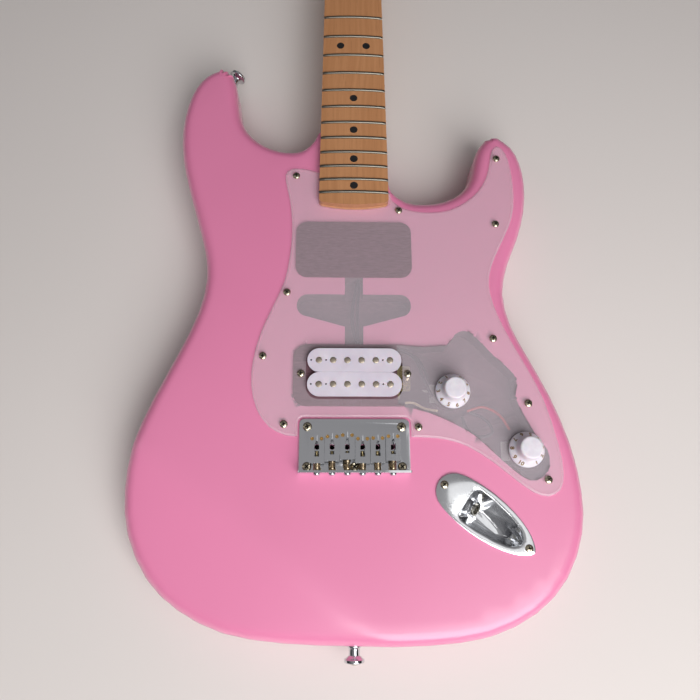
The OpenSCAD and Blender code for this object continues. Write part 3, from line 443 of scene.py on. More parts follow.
def frosted_acrylic(colour, cover):
    """Acrylic sheet, satin on its face: milky, and the cavities show through."""
    made, tree, shader, place = surface("frosted_acrylic_sheet", colour,
                                        roughness=0.38, alpha=cover)
    bump(tree, shader, grain(tree, place, 0.6, 2), 0.06, 0.05)
    return made


def acrylic_edge_painted_highlight():
    """The same sheet where its edge is bevelled and polished: glossier and denser, and
    coloured lighter as a painted highlight along the bevel.
    """
    made, tree, shader, place = surface("acrylic_edge_painted_highlight", "#F2D6E2",
                                        roughness=0.15, alpha=0.32)
    bump(tree, shader, grain(tree, place, 1.5, 2), 0.05, 0.05)
    return made


def metal(name, colour, roughness, size_mm=1.2, depth_mm=0.01, stretch=(1, 1, 1)):
    """A bare or plated metal with its own fine unevenness."""
    made, tree, shader, place = surface(name, colour, metallic=1.0,
                                        roughness=roughness)
    fine = grain(tree, place, size_mm, 3, stretch)
    tree.links.new(spread(tree, fine, roughness * 0.75, roughness * 1.3),
                   shader.inputs["Roughness"])
    bump(tree, shader, fine, 0.15, depth_mm)
    return made


def plastic(name, colour, shade, roughness, mottle_mm=6.0, **more):
    """A moulded plastic: even colour, slight mottle, soft moulded skin."""
    made, tree, shader, place = surface(name, colour, roughness=roughness, **more)
    mottle = grain(tree, place, mottle_mm, 2)
    tree.links.new(blend_colours(tree, spread(tree, mottle, 0, 1), colour, shade),
                   shader.inputs["Base Color"])
    bump(tree, shader, grain(tree, place, 0.5, 2), 0.08, 0.02)
    return made


def maple(name, light, dark, figure, coat):
    """Hard maple, sawn along its length and sanded: pale wood with fine growth
    lines and small flecks that run along the neck, under a satin or gloss coat."""
    made, tree, shader, place = surface(name, light, roughness=0.45,
                                        coat_weight=coat, coat_roughness=0.18)
    wander = grain(tree, place, 60, 2, (1, 0.35, 1))
    bent = add(tree, "ShaderNodeVectorMath", {
        0: place, 1: add(tree, "ShaderNodeCombineXYZ", {
            "X": spread(tree, wander, -0.004, 0.004)}).outputs[0]},
        operation="ADD").outputs[0]
    lines = grain(tree, bent, 2.4, 5, (1, 0.02, 1))
    broad = grain(tree, bent, 9, 2, (1, 0.06, 1))
    flecks = grain(tree, place, 1.1, 3, (1, 0.07, 1))
    both = add(tree, "ShaderNodeMix", {0: 0.45, 2: spread(tree, lines, 0, 1),
                                       3: spread(tree, broad, 0, 1)}).outputs[0]
    wood = blend_colours(tree, both, light, dark)
    fleck = add(tree, "ShaderNodeMapRange", {
        "Value": flecks, "From Min": 0.60, "From Max": 0.72, "To Min": 0.0,
        "To Max": 0.35}).outputs[0]
    coloured = add(tree, "ShaderNodeMix", {0: fleck, 6: wood, 7: srgb(figure)},
                   data_type="RGBA").outputs[2]
    tree.links.new(coloured, shader.inputs["Base Color"])
    bump(tree, shader, lines, 0.10, 0.05)
    return made


def braid():
    """Tinned copper braid: bright wires crossed on a diagonal, drawn at 0.9 mm
    because the real strands are too fine to show."""
    made, tree, shader, place = surface("tinned_copper_braid", "#B9B6B0",
                                        metallic=1.0, roughness=0.38)
    wires = [add(tree, "ShaderNodeTexWave", {
        "Vector": add(tree, "ShaderNodeMapping", {
            "Vector": place, "Rotation": (0, 0, a)}).outputs[0],
        "Scale": 0.3 / (0.9 * MM)}).outputs["Fac"] for a in (0.7, -0.7)]
    both = add(tree, "ShaderNodeMath", {0: wires[0], 1: wires[1]},
               operation="MAXIMUM").outputs[0]
    bump(tree, shader, both, 0.8, 0.15)
    return made


def studio_floor(colour, shade):
    """A seamless paper sweep: matt and pale, a little uneven."""
    made, tree, shader, place = surface("seamless_paper", colour, roughness=0.85,
                                        specular_ior_level=0.2)
    cloud = grain(tree, place, 500, 1)
    tree.links.new(blend_colours(tree, spread(tree, cloud, 0, 1), colour, shade),
                   shader.inputs["Base Color"])
    return made


FINISHES = {}


def finish(name):
    """The finish of that plain name, made once."""
    looks = bpy.context.scene.guitar_colours
    recipes = {
        "lacquer": lambda: pink_lacquer(hex_of(looks.lacquer), "#DF7FA6"),
        # painted shade: the cavities' surfaces are coloured dark for the shade inside them
        "cavity": cavity_paint_painted_shade,
        "guard": lambda: frosted_acrylic(hex_of(looks.guard), looks.guard_cover),
        "guard_edge_highlight": acrylic_edge_painted_highlight,
        "chrome": lambda: metal("chrome_plate", "#D9DADD", 0.07),
        "pressing": lambda: metal("chrome_plated_pressing", "#DEDFE1", 0.15),
        "nickel": lambda: metal("nickel_plated_steel", "#C9BFA6", 0.20),
        "brass": lambda: metal("yellow_brass", "#D8B173", 0.22),
        "recess": lambda: metal("shadowed_recess_steel", "#2A2520", 0.5),
        # painted reflection: the frets are coloured darker than bare nickel silver, for
        # the dark surroundings they mirror
        "fret": lambda: metal("nickel_silver_painted_dark_reflection", "#77736A", 0.34, 0.6, 0.01,
                              (1, 4, 1)),
        "pole": lambda: metal("bright_steel", "#C9BBA8", 0.34, 0.4),
        "blued": lambda: metal("blued_steel", "#3A3A3D", 0.40),
        "spring": lambda: metal("plated_music_wire", "#C4B296", 0.22, 0.3),
        "can": lambda: metal("zinc_plated_can", "#B5B4AC", 0.35, 3),
        "sheet": lambda: metal("nickel_silver_sheet", "#B8A97C", 0.30, 2),
        "contact": lambda: metal("plated_contact_brass", "#A9A69C", 0.28),
        "maple": lambda: maple("satin_maple", "#DDAA7A", "#C98F5E", "#A87248", 0.25),
        "board": lambda: maple("lacquered_maple", "#C58C5E", "#AE7548", "#8C5A36",
                               0.5),
        "dot": lambda: plastic("black_abs_dot", "#141314", "#1D1B1C", 0.35),
        "nut": lambda: plastic("moulded_nut", "#EDE8D8", "#E2DAC4", 0.4),
        "knob": lambda: plastic("white_abs_knob", "#E6E0E7", "#DCD5DE", 0.32, 4,
                                subsurface_weight=0.15,
                                subsurface_scale=0.002),
        "bobbin": lambda: plastic("white_nylon_bobbin", "#DCD3DE", "#D2C8D5", 0.3,
                                  12, subsurface_weight=0.1,
                                  subsurface_scale=0.001),
        "numeral": lambda: plastic("gold_brown_print", "#8A6428", "#7A5620", 0.5),
        "magnet": lambda: plastic("ferrite_magnet", "#3B3C40", "#303034", 0.55, 2),
        "tape": lambda: plastic("black_coil_tape", "#121112", "#1E1B1B", 0.35, 3),
        "capacitor": lambda: plastic("dipped_polyester_film", "#2F6B45", "#28583A",
                                     0.3),
        "black_wire": lambda: plastic("black_pvc_sleeve", "#1A1A1E", "#26262B", 0.4),
        "red_wire": lambda: plastic("red_pvc_sleeve", "#C4352B", "#A92A22", 0.4),
        "cream_wire": lambda: plastic("cream_pvc_sleeve", "#E8D2B0", "#D8BE98", 0.4),
        "braid": braid,
    }
    if name not in FINISHES:
        FINISHES[name] = recipes[name]()
    return FINISHES[name]


def hex_of(colour):
    """A colour property, which is linear, as sRGB hex."""
    shown = [12.92 * c if c <= 0.0031308 else 1.055 * c ** (1 / 2.4) - 0.055
             for c in colour[:3]]
    return "#" + "".join(f"{round(255 * c):02X}" for c in shown)


# ---- What a user would change

def colour_of(text, name, description):
    return bpy.props.FloatVectorProperty(
        name=name, description=description, subtype="COLOR", size=3, min=0, max=1,
        default=srgb(text)[:3])


class GuitarSizes(bpy.types.PropertyGroup):
    """Sizes of the finished surfaces, beyond what the frame fixes."""

    arm_blend: bpy.props.FloatProperty(
        name="Forearm blend", description="Half width of the forearm contour's crease",
        default=0.005, subtype="DISTANCE", unit="LENGTH")
    edge_radius: bpy.props.FloatProperty(
        name="Body edge", description="Radius of the rounded body edge",
        default=0.010, subtype="DISTANCE", unit="LENGTH")
    guard_bevel: bpy.props.FloatProperty(
        name="Guard bevel", description="Width of the pickguard's bevelled edge",
        default=0.0015, subtype="DISTANCE", unit="LENGTH")
    hardware_edge: bpy.props.FloatProperty(
        name="Hardware edge", description="Easing of the plated parts' edges",
        default=0.0004, subtype="DISTANCE", unit="LENGTH")
    numeral_height: bpy.props.FloatProperty(
        name="Numerals", description="Height of the knobs' numerals",
        default=0.0031, subtype="DISTANCE", unit="LENGTH")
    spring_turns: bpy.props.IntProperty(
        name="Spring turns", description="Turns in an intonation spring", default=8)


class GuitarColours(bpy.types.PropertyGroup):
    """Colours of the finish."""

    lacquer: colour_of("#E583AB", "Lacquer", "Colour of the body")
    guard: colour_of("#E9DCE4", "Pickguard", "Tint of the frosted pickguard")
    guard_cover: bpy.props.FloatProperty(
        name="Guard cover", description="How much one face of the guard hides",
        default=0.24, min=0, max=1, subtype="FACTOR")
    floor: colour_of("#DCD5D1", "Floor", "Colour of the floor")


# ---- Body and pickguard

CREASE = Vector((-150, -12))
CREASE_ANGLE = math.radians(-36.8)
ARM_SLOPE = math.tan(math.radians(12))
BELLY_FROM = -78
BELLY_SLOPE = 14 / 78
BELLY_Y = 48
BELLY_RADIUS = 190
BLOCK_HALF = 28.1
BLOCK_FROM, BLOCK_TO = 181.45, 257
RIM_STEPS = 7
POCKET_Z = BODY_TOP - 16
CUP_FLOOR = 24
CUP_AREA = 1800
ROUT_FLOORS = [(32, 33), (28, 30), (26, 27), (18, 25), (10, 14)]


def softly_above(value, width):
    """max(value, 0) with its corner rounded over width on each side."""
    if abs(value) >= width:
        return max(value, 0.0)
    return (value + width) ** 2 / (4 * width)


def face_z(p, blend):
    """Height of the playing face, with the forearm contour."""
    past = (p - CREASE).dot(Vector((math.sin(CREASE_ANGLE), -math.cos(CREASE_ANGLE))))
    return BODY_TOP - ARM_SLOPE * softly_above(past, blend)


def back_z(p):
    """Height of the back, with the belly cut."""
    depth = (BELLY_FROM - p.x) * BELLY_SLOPE - (p.y - BELLY_Y) ** 2 / (2 * BELLY_RADIUS)
    return softly_above(depth, 1.2)


def rim_radii(loop, radius):
    """The rounding at each outline point: less at the horns' tips and by the neck."""
    made = []
    for i, p in enumerate(loop):
        gap = Vector((max(abs(p.x) - BLOCK_HALF, 0),
                      max(BLOCK_FROM - p.y, p.y - BLOCK_TO, 0))).length
        a, b, c = loop[i - 6], p, loop[(i + 6) % len(loop)]
        turn = (b - a).y * (c - b).x - (b - a).x * (c - b).y
        bend = 1000 if turn < 0.5 else \
            (b - a).length * (c - b).length * (c - a).length / (2 * turn)
        made.append(min(radius, 2 + 0.45 * gap, 0.62 * bend))
    for _ in range(6):
        made = [(made[i - 1] + 2 * made[i] + made[(i + 1) % len(made)]) / 4
                for i in range(len(made))]
    return made


def cap(ring, height, flip, grid=9.0):
    """A triangulated face that fills a ring and follows a height."""
    low = Vector((min(p.x for p in ring), min(p.y for p in ring)))
    high = Vector((max(p.x for p in ring), max(p.y for p in ring)))
    seeds = []
    for i in range(int((high.x - low.x) / grid) + 1):
        for j in range(int((high.y - low.y) / grid) + 1):
            p = low + Vector(((i + 0.5 * (j % 2)) * grid, j * grid))
            if all((p - q).length > grid * 0.45 for q in ring):
                seeds.append(p)
    edges = [(k, (k + 1) % len(ring)) for k in range(len(ring))]
    points, _, faces, *_ = delaunay_2d_cdt(ring + seeds, edges, [], 1, 1e-6)
    made = [Vector((p.x, p.y, height(p))) for p in points]
    return made, [f[::-1] if flip else list(f) for f in faces]


class GUITAR_OT_body(bpy.types.Operator):
    """Builds the lacquered body: rounded rim, forearm contour, belly cut, cavities"""

    bl_idname = "guitar.body"
    bl_label = "Body"

    def execute(self, context):
        sizes = context.scene.guitar_sizes
        blend = sizes.arm_blend / MM
        outline = smooth_loop(thinned(section("body", 15)[0], 0.4), 3)
        radii = rim_radii(outline, sizes.edge_radius / MM)
        count = len(outline)
        rows, points = 2 * RIM_STEPS + 2, []
        tops, backs = [], []
        for i, p in enumerate(outline):
            n, r = inward(outline, i), radii[i]
            lap = [90 * k / RIM_STEPS for k in range(RIM_STEPS + 1)]
            for a in lap:
                q = p + n * r * (1 - math.sin(math.radians(a)))
                points.append((q.x, q.y, back_z(q) + r * (1 - math.cos(math.radians(a)))))
            for a in reversed(lap):
                q = p + n * r * (1 - math.sin(math.radians(a)))
                points.append((q.x, q.y, face_z(q, blend)
                               - r * (1 - math.cos(math.radians(a)))))
            tops.append(p + n * r)
        backs = tops
        faces = [[i * rows + j, i * rows + j + 1,
                  ((i + 1) % count) * rows + j + 1, ((i + 1) % count) * rows + j]
                 for i in range(count) for j in range(rows - 1)]
        blank = joined([(points, faces),
                        cap(tops, lambda p: face_z(p, blend), False),
                        cap(backs, back_z, True)])
        body = piece("body_lacquered", *blank, [finish("lacquer"), finish("cavity")],
                     slot="pink_lacquer")
        welded(body.data)
        board = section("fretboard", box_mm("fretboard")[0].z + 1)[0]
        heel = min(p.y for p in board)
        pocket = [Vector((p.x * 1.004, p.y - 0.1 if p.y < heel + 20 else p.y))
                  for p in board]
        carved(body, [prism(pocket, POCKET_Z, BODY_TOP + 9)], finish("lacquer"))
        mouths = [prism(loop, CUP_FLOOR, BODY_TOP + 2)
                  for loop in section("body", BODY_TOP - 0.2)[1:]
                  if 150 < abs(area(loop)) < CUP_AREA]
        rout_mouths = joined([prism(loop, 1, BODY_TOP + 3)
                              for loop in section("body", BODY_TOP - 0.2)[1:]
                              if abs(area(loop)) > CUP_AREA])
        cutters = mouths
        for floor, level in ROUT_FLOORS:
            deep = [loop for loop in section("body", level)[1:]
                    if abs(area(loop)) > 150]
            tool = piece("rout", *joined([prism(p, floor, BODY_TOP + 2)
                                          for p in deep]), finish("cavity"), None)
            cutters.append(read(carved(tool, [rout_mouths], how="INTERSECT")))
        # The cut faces take the cavity finish, whose dark colour is painted shade.
        carved(body, cutters, finish("cavity"))
        plate_top = box_mm("neck_plate")[1].z
        backs = [prism(loop, -1, plate_top) for loop in section("body", plate_top / 2)[1:]
                 if abs(area(loop)) > CUP_AREA]
        bore = [(0, -1), (4.0, -1), (4.0, 1.2), (3.1, 1.2), (3.1, 9.1), (1.6, 9.1),
                (1.6, BODY_TOP + 1), (0, BODY_TOP + 1)]
        backs.append(joined([moved(lathe(bore, 24), Matrix.Translation((x, y, 0)))
                             for x, y in middles("string_ferrules")]))
        carved(body, backs, finish("cavity"))
        body.data.shade_smooth()
        body.data.set_sharp_from_angle(angle=math.radians(32))
        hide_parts("body")
        return {"FINISHED"}


def wall(rings):
    """The side faces between closed outlines at rising heights."""
    count = len(rings[0][0])
    points = [(p.x, p.y, z) for loop, z in rings for p in loop]
    faces = [[row * count + k, row * count + (k + 1) % count,
              (row + 1) * count + (k + 1) % count, (row + 1) * count + k]
             for row in range(len(rings) - 1) for k in range(count)]
    return points, faces


def within(p, loop):
    """Whether a point lies inside a closed outline."""
    hits = [a.x + (p.y - a.y) * (b.x - a.x) / (b.y - a.y) > p.x
            for a, b in zip(loop, loop[1:] + loop[:1]) if (a.y > p.y) != (b.y > p.y)]
    return sum(hits) % 2 == 1


def sheet(outer, holes, z):
    """A triangulated flat face with holes."""
    flat, edges = [], []
    for loop in [outer] + holes:
        start = len(flat)
        flat += loop
        edges += [(start + k, start + (k + 1) % len(loop)) for k in range(len(loop))]
    points, _, faces, *_ = delaunay_2d_cdt(flat, edges, [], 1, 1e-6)
    kept_faces = []
    for f in faces:
        middle = sum((points[i] for i in f), Vector((0, 0))) / len(f)
        if within(middle, outer) and not any(within(middle, h) for h in holes):
            kept_faces.append(list(f))
    return [(p.x, p.y, z) for p in points], kept_faces


def welded(mesh):
    """Joins the mesh's touching points and turns its faces outwards."""
    shape = bmesh.new()
    shape.from_mesh(mesh)
    bmesh.ops.remove_doubles(shape, verts=shape.verts, dist=2e-6)
    bmesh.ops.recalc_face_normals(shape, faces=shape.faces)
    shape.to_mesh(mesh)
    shape.free()


class GUITAR_OT_pickguard(bpy.types.Operator):
    """Builds the frosted pickguard with its bevelled edge and openings"""

    bl_idname = "guitar.pickguard"
    bl_label = "Pickguard"

    def execute(self, context):
        bevel = context.scene.guitar_sizes.guard_bevel / MM
        outer, *holes = section("pickguard", (BODY_TOP + GUARD_TOP) / 2)
        outer, low = thinned(outer, 0.3), BODY_TOP + 0.01
        inset = [p + inward(outer, i) * bevel for i, p in enumerate(outer)]
        parts = [wall([(outer, low), (outer, GUARD_TOP - 0.55 * bevel),
                       (inset, GUARD_TOP)])]
        parts += [wall([(hole, low), (hole, GUARD_TOP)]) for hole in holes]
        parts += [sheet(outer, holes, low), sheet(inset, holes, GUARD_TOP)]
        guard = piece("pickguard_frosted", *joined(parts),
                      [finish("guard"), finish("guard_edge_highlight")], slot="frosted_guard")
        welded(guard.data)
        # The bevel and side faces take the edge finish, whose lighter colour is a painted
        # highlight.
        for face in guard.data.polygons:
            face.material_index = 1 if abs(face.normal.z) < 0.99 else 0
        guard.data.shade_smooth()
        guard.data.set_sharp_from_angle(angle=math.radians(25))
        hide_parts("pickguard")
        return {"FINISHED"}


# ---- Neck and headstock

def crowned_bar(y, half, crown, profile):
    """A bar across the board that follows its crown, from an (offset, rise) profile."""
    radius, top = crown
    reach = math.asin(half / radius)
    steps, points, faces = 24, [], []
    for i in range(steps + 1):
        a = reach * (2 * i / steps - 1)
        ease = min(1.0, 0.35 + 3.0 * (1 - abs(2 * i / steps - 1)) * 6)
        for offset, rise in profile:
            r = radius + (rise * ease if rise > 0 else rise)
            points.append((r * math.sin(a), y + offset, top - radius + r * math.cos(a)))
    m = len(profile)
    for i in range(steps):
        for k in range(m):
            n = (k + 1) % m
            faces.append([i * m + k, (i + 1) * m + k, (i + 1) * m + n, i * m + n])
    faces += [list(range(m)), list(range(steps * m, (steps + 1) * m))[::-1]]
    return points, faces


class GUITAR_OT_neck(bpy.types.Operator):
    """Finishes the neck, fretboard, frets, dots, nut and headstock parts"""

    bl_idname = "guitar.neck"
    bl_label = "Neck"

    def execute(self, context):
        edge = context.scene.guitar_sizes.hardware_edge / MM
        softened("neck", 1.0, finish("maple"), sides=3)
        kept("fretboard", finish("board"))
        kept("position_dots", finish("dot"))
        softened("nut", 0.3, finish("nut"))
        kept("truss_rod", finish("blued"))
        softened("neck_plate", edge, finish("chrome"))
        softened("string_trees", 0.3, finish("chrome"))
        softened("tuner_housings", 0.6, finish("chrome"), sides=3)
        softened("tuner_bushings", 0.25, finish("chrome"))
        softened("string_ferrules", 0.2, finish("chrome"))
        for i in STRINGS:
            softened(f"tuner_post_{i}", 0.25, finish("chrome"))
            softened(f"tuner_button_{i}", 1.3, finish("chrome"), sides=4)
        self.frets()
        return {"FINISHED"}

    def frets(self):
        low, high = box_mm("fretboard")
        crown = (241, high.z)
        profile = [(-1.2, -1.6), (-1.2, 0.0), (-1.1, 0.42), (-0.85, 0.8), (-0.45, 1.04),
                   (0, 1.1), (0.45, 1.04), (0.85, 0.8), (1.1, 0.42), (1.2, 0.0),
                   (1.2, -1.6)]
        profile = [(o, r if r >= 0 else -0.3) for o, r in profile]
        bars = []
        for loop in islands("frets"):
            y = (min(p.y for p in loop) + max(p.y for p in loop)) / 2
            bars.append(crowned_bar(y, max(p.x for p in loop) - 0.05, crown, profile))
        frets = piece("frets_crowned", *joined(bars), finish("fret"),
                      slot="nickel_silver")
        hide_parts("frets")


def middles(node):
    """The middle, seen from above, of each separate solid of a CAD node."""
    return [((min(p.x for p in g) + max(p.x for p in g)) / 2,
             (min(p.y for p in g) + max(p.y for p in g)) / 2) for g in islands(node)]


def islands(node):
    """The separate solids of a CAD node, each as its points in millimetres."""
    shape = bmesh.new()
    shape.from_mesh(frame["nodes"][node].data)
    bmesh.ops.remove_doubles(shape, verts=shape.verts, dist=1e-6)
    left, found = set(shape.verts), []
    while left:
        stack, group = [left.pop()], []
        while stack:
            vert = stack.pop()
            group.append(vert.co / MM)
            for edge in vert.link_edges:
                other = edge.other_vert(vert)
                if other in left:
                    left.discard(other)
                    stack.append(other)
        found.append(group)
    shape.free()
    return sorted(found, key=lambda g: (round(g[0].x), round(g[0].y), round(g[0].z)))


# ---- Screws

def oval_screw(head, height, shank, length):
    """A Phillips oval-head screw with its seat at the origin and its point down."""
    rim = 0.28 * height
    dome = [(head / 2 * math.cos(a), rim + (height - rim) * math.sin(a))
            for a in [math.pi / 2 * k / 8 for k in range(9)]]
    profile = [(0, -length), (shank * 0.3, -length + 1), (shank / 2, -length + 3),
               (shank / 2, -head * 0.22), (head / 2, 0)] + dome[:-1] + [(0, height)]
    return lathe(profile, 32)


def cross_recess(head, height):
    """Two tapered slots, for a Phillips driver."""
    cuts = []
    wide, narrow, deep = head * 0.33, head * 0.085, height * 0.95
    for turn in (0, math.pi / 2):
        box = [(-wide, -narrow), (wide, -narrow), (wide, narrow), (-wide, narrow)]
        points = [Vector((x, y, height + 0.3)) for x, y in box]
        points += [Vector((x * 0.35, y * 0.7, height - deep)) for x, y in box]
        faces = [[0, 1, 2, 3], [7, 6, 5, 4]] + [[k, k + 4, (k + 1) % 4 + 4, (k + 1) % 4]
                                               for k in range(4)]
        cuts.append(moved((points, faces), Matrix.Rotation(turn, 4, "Z")))
    return cuts


def screw_set(name, node, size, places, material, slot):
    """All of a node's screws as one piece, each turned to its own angle."""
    head, height, shank, length = size
    model = piece("screw_model", *oval_screw(head, height, shank, length), material,
                  body=None)
    points, faces = read(carved(model, cross_recess(head, height)))
    parts = []
    for k, place in enumerate(places):
        turn = noise.noise(Vector((k * 1.7, 0.3, 0.1))) * math.pi
        parts.append(moved((points, faces), place @ Matrix.Rotation(turn, 4, "Z")))
    made = piece(name, *joined(parts), [material, finish("recess")],
                 body_name(node), slot, smooth=40)
    for k, face in enumerate(made.data.polygons):
        place = places[k // len(faces)]
        middle = place.inverted() @ (face.center / MM)
        if 0 < middle.z < height and inside_dome(middle, head, height):
            face.material_index = 1
    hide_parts(node)
    return made


def inside_dome(p, head, height):
    """Whether a point lies well under the dome of an oval head: in its recess."""
    rim = 0.28 * height
    if p.xy.length > 0.42 * head:
        return False
    dome = rim + (height - rim) * math.sqrt(max(1 - (2 * p.xy.length / head) ** 2, 0))
    return p.z < dome - 0.12 * height


def screw_places(node, seat_height=None, axis=None):
    """The box of each screw of a node, as its lowest and highest corners."""
    found = []
    for group in islands(node):
        low = Vector([min(p[k] for p in group) for k in range(3)])
        high = Vector([max(p[k] for p in group) for k in range(3)])
        found.append((low, high))
    return found


class GUITAR_OT_screws(bpy.types.Operator):
    """Builds the Phillips screws of the guard, bridge, cup, straps and headstock"""

    bl_idname = "guitar.screws"
    bl_label = "Screws"

    def execute(self, context):
        nickel, chrome = finish("nickel"), finish("chrome")
        upright = [Matrix.Translation(((a.x + b.x) / 2, (a.y + b.y) / 2, b.z - 1.5))
                   for a, b in screw_places("plate_screws")]
        screw_set("guard_screws", "plate_screws", (5.8, 1.5, 3.0, 12.5), upright,
                  nickel, "nickel_screw")
        body_places = []
        for low, high in screw_places("body_screws"):
            middle = (low + high) / 2
            if high.z - low.z > 20:
                body_places.append(Matrix.Translation((middle.x, middle.y, high.z - 1.5)))
            else:
                body_places.append(self.strap_place(low, high))
        screw_set("bridge_and_strap_screws", "body_screws", (6.6, 1.5, 3.6, 25),
                  body_places, nickel, "nickel_screw")
        height_places = [Matrix.Translation(((a.x + b.x) / 2, (a.y + b.y) / 2, b.z - 1.6))
                         for a, b in screw_places("pickup_height_screws")]
        screw_set("pickup_screws", "pickup_height_screws", (5.6, 1.6, 3.0, 24),
                  height_places, nickel, "nickel_screw")
        small, top = [], box_mm("string_trees")[1].z
        for low, high in screw_places("headstock_screws"):
            middle = (low + high) / 2
            if high.z > top:
                small.append(Matrix.Translation((middle.x, middle.y, high.z - 1.3)))
            else:
                small.append(Matrix.Translation((middle.x, middle.y, low.z + 1.3))
                             @ Matrix.Rotation(math.pi, 4, "X"))
        screw_set("tuner_and_tree_screws", "headstock_screws", (4.2, 1.3, 2.2, 7),
                  small, chrome, "nickel_screw")
        return {"FINISHED"}

    def strap_place(self, low, high):
        """A strap screw points out of the body's edge, by the strap button there."""
        middle, best = (low + high) / 2, None
        for group in islands("strap_buttons"):
            centre = sum(group, Vector()) / len(group)
            if best is None or (centre - middle).length < (best[0] - middle).length:
                best = (centre, group)
        out = (best[0] - middle)
        out.z = 0
        out.normalize()
        reach = max((p - middle).dot(out) for p in best[1])
        turn = Vector((0, 0, 1)).rotation_difference(out).to_matrix().to_4x4()
        return Matrix.Translation(middle + out * (reach + 0.02)) @ turn


# ---- Bridge

def threaded_rod(radius, length, pitch):
    """A rod along +Y with a fine rounded thread."""
    sides, depth = 20, pitch * 0.55
    steps = int(length / pitch * 2)
    points, faces = [], []
    for i in range(steps + 1):
        for k in range(sides):
            a = TURN * k / sides
            y = (i + 2 * k / sides) * pitch / 2
            r = radius - (depth if i % 2 else 0)
            points.append((r * math.cos(a), min(y, length), r * math.sin(a)))
    for i in range(steps):
        for k in range(sides):
            if k < sides - 1:
                a = i * sides + k
                faces.append([a, a + sides, a + sides + 1, a + 1])
            elif i + 2 <= steps - 1:
                faces.append([i * sides + k, (i + 1) * sides + k, (i + 3) * sides,
                              (i + 2) * sides])
    return points, faces


class GUITAR_OT_bridge(bpy.types.Operator):
    """Builds the bridge plate, saddles, adjusting screws and their springs"""

    bl_idname = "guitar.bridge"
    bl_label = "Bridge"

    def execute(self, context):
        sizes = context.scene.guitar_sizes
        edge, chrome = sizes.hardware_edge / MM, finish("chrome")
        softened("bridge_plate", edge, chrome, sides=3)
        for i in STRINGS:
            self.saddle(i, edge)
            self.screw(i)
            self.spring(i, sizes.spring_turns)
        return {"FINISHED"}

    def saddle(self, i, edge):
        made = softened(f"saddle_{i}", 0, [finish("chrome"), finish("brass")])
        low, high = box_mm(f"saddle_{i}")
        middle, y = (low.x + high.x) / 2, high.y - 2.4
        sides = (-3.3, 3.3)
        for face in made.data.polygons:
            corners = [made.data.vertices[v].co / MM for v in face.vertices]
            if any(all(math.hypot(c.x - middle - x, c.y - y) < 1.31 for c in corners)
                   for x in sides):
                face.material_index = 1
        top = max(c.co.z / MM for c in made.data.vertices
                  if math.hypot(c.co.x / MM - middle - sides[0],
                                c.co.y / MM - y) < 1.31)
        carved(made, [moved(lathe([(0, -1.2), (0.66, -1.2), (0.66, 1), (0, 1)], 6),
                            Matrix.Translation((middle + x, y, top)))
                      for x in sides], finish("recess"))
        edges = made.modifiers.new("edges", "BEVEL")
        edges.width, edges.segments = 1.6 * edge * MM, 3
        edges.limit_method, edges.angle_limit = "ANGLE", math.radians(32)
        edges.harden_normals = True

    def screw(self, i):
        low, high = box_mm(f"intonation_screw_{i}")
        x, z = (low.x + high.x) / 2, (low.z + high.z) / 2
        body = body_name(f"intonation_screw_{i}")
        rod = moved(threaded_rod(1.48, high.y - low.y - 2.2, 0.5),
                    Matrix.Translation((x, low.y + 2.1, z)))
        tip = moved(lathe([(0, 0.6), (0.7, 0.5), (1.2, 0.0), (1.2, -1)], 20),
                    Matrix.Translation((x, high.y - 0.55, z))
                    @ Matrix.Rotation(-math.pi / 2, 4, "X"))
        piece(f"intonation_thread_{i}", *joined([rod, tip]), finish("nickel"), body,
              slot="chrome")
        head = piece(f"intonation_head_{i}", *oval_screw(5.2, 1.9, 2.9, 3),
                     finish("chrome"), None, smooth=40)
        carved(head, cross_recess(5.2, 1.9))
        head.matrix_world = (Matrix.Translation(Vector((x, low.y + 1.95, z)) * MM)
                             @ Matrix.Rotation(math.pi / 2, 4, "X"))
        head.data.transform(head.matrix_world)
        head.matrix_world = Matrix.Identity(4)
        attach(head, body)
        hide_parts(f"intonation_screw_{i}")

    def spring(self, i, turns):
        low, high = box_mm(f"saddle_{i}")
        plate = box_mm("bridge_plate")[0]
        screw_low, screw_high = box_mm(f"intonation_screw_{i}")
        x = (low.x + high.x) / 2
        z = (screw_low.z + screw_high.z) / 2
        start, end = plate.y + 1.62, low.y
        made = moved(coil(2.15, 0.42, end - start, turns),
                     Matrix.Translation((x, start, z))
                     @ Matrix.Rotation(-math.pi / 2, 4, "X"))
        spring = piece(f"intonation_spring_{i}", *made, finish("spring"), None,
                       "spring_steel")
        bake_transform(spring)
        if i == 1:
            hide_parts("intonation_springs")


# ---- Pickup

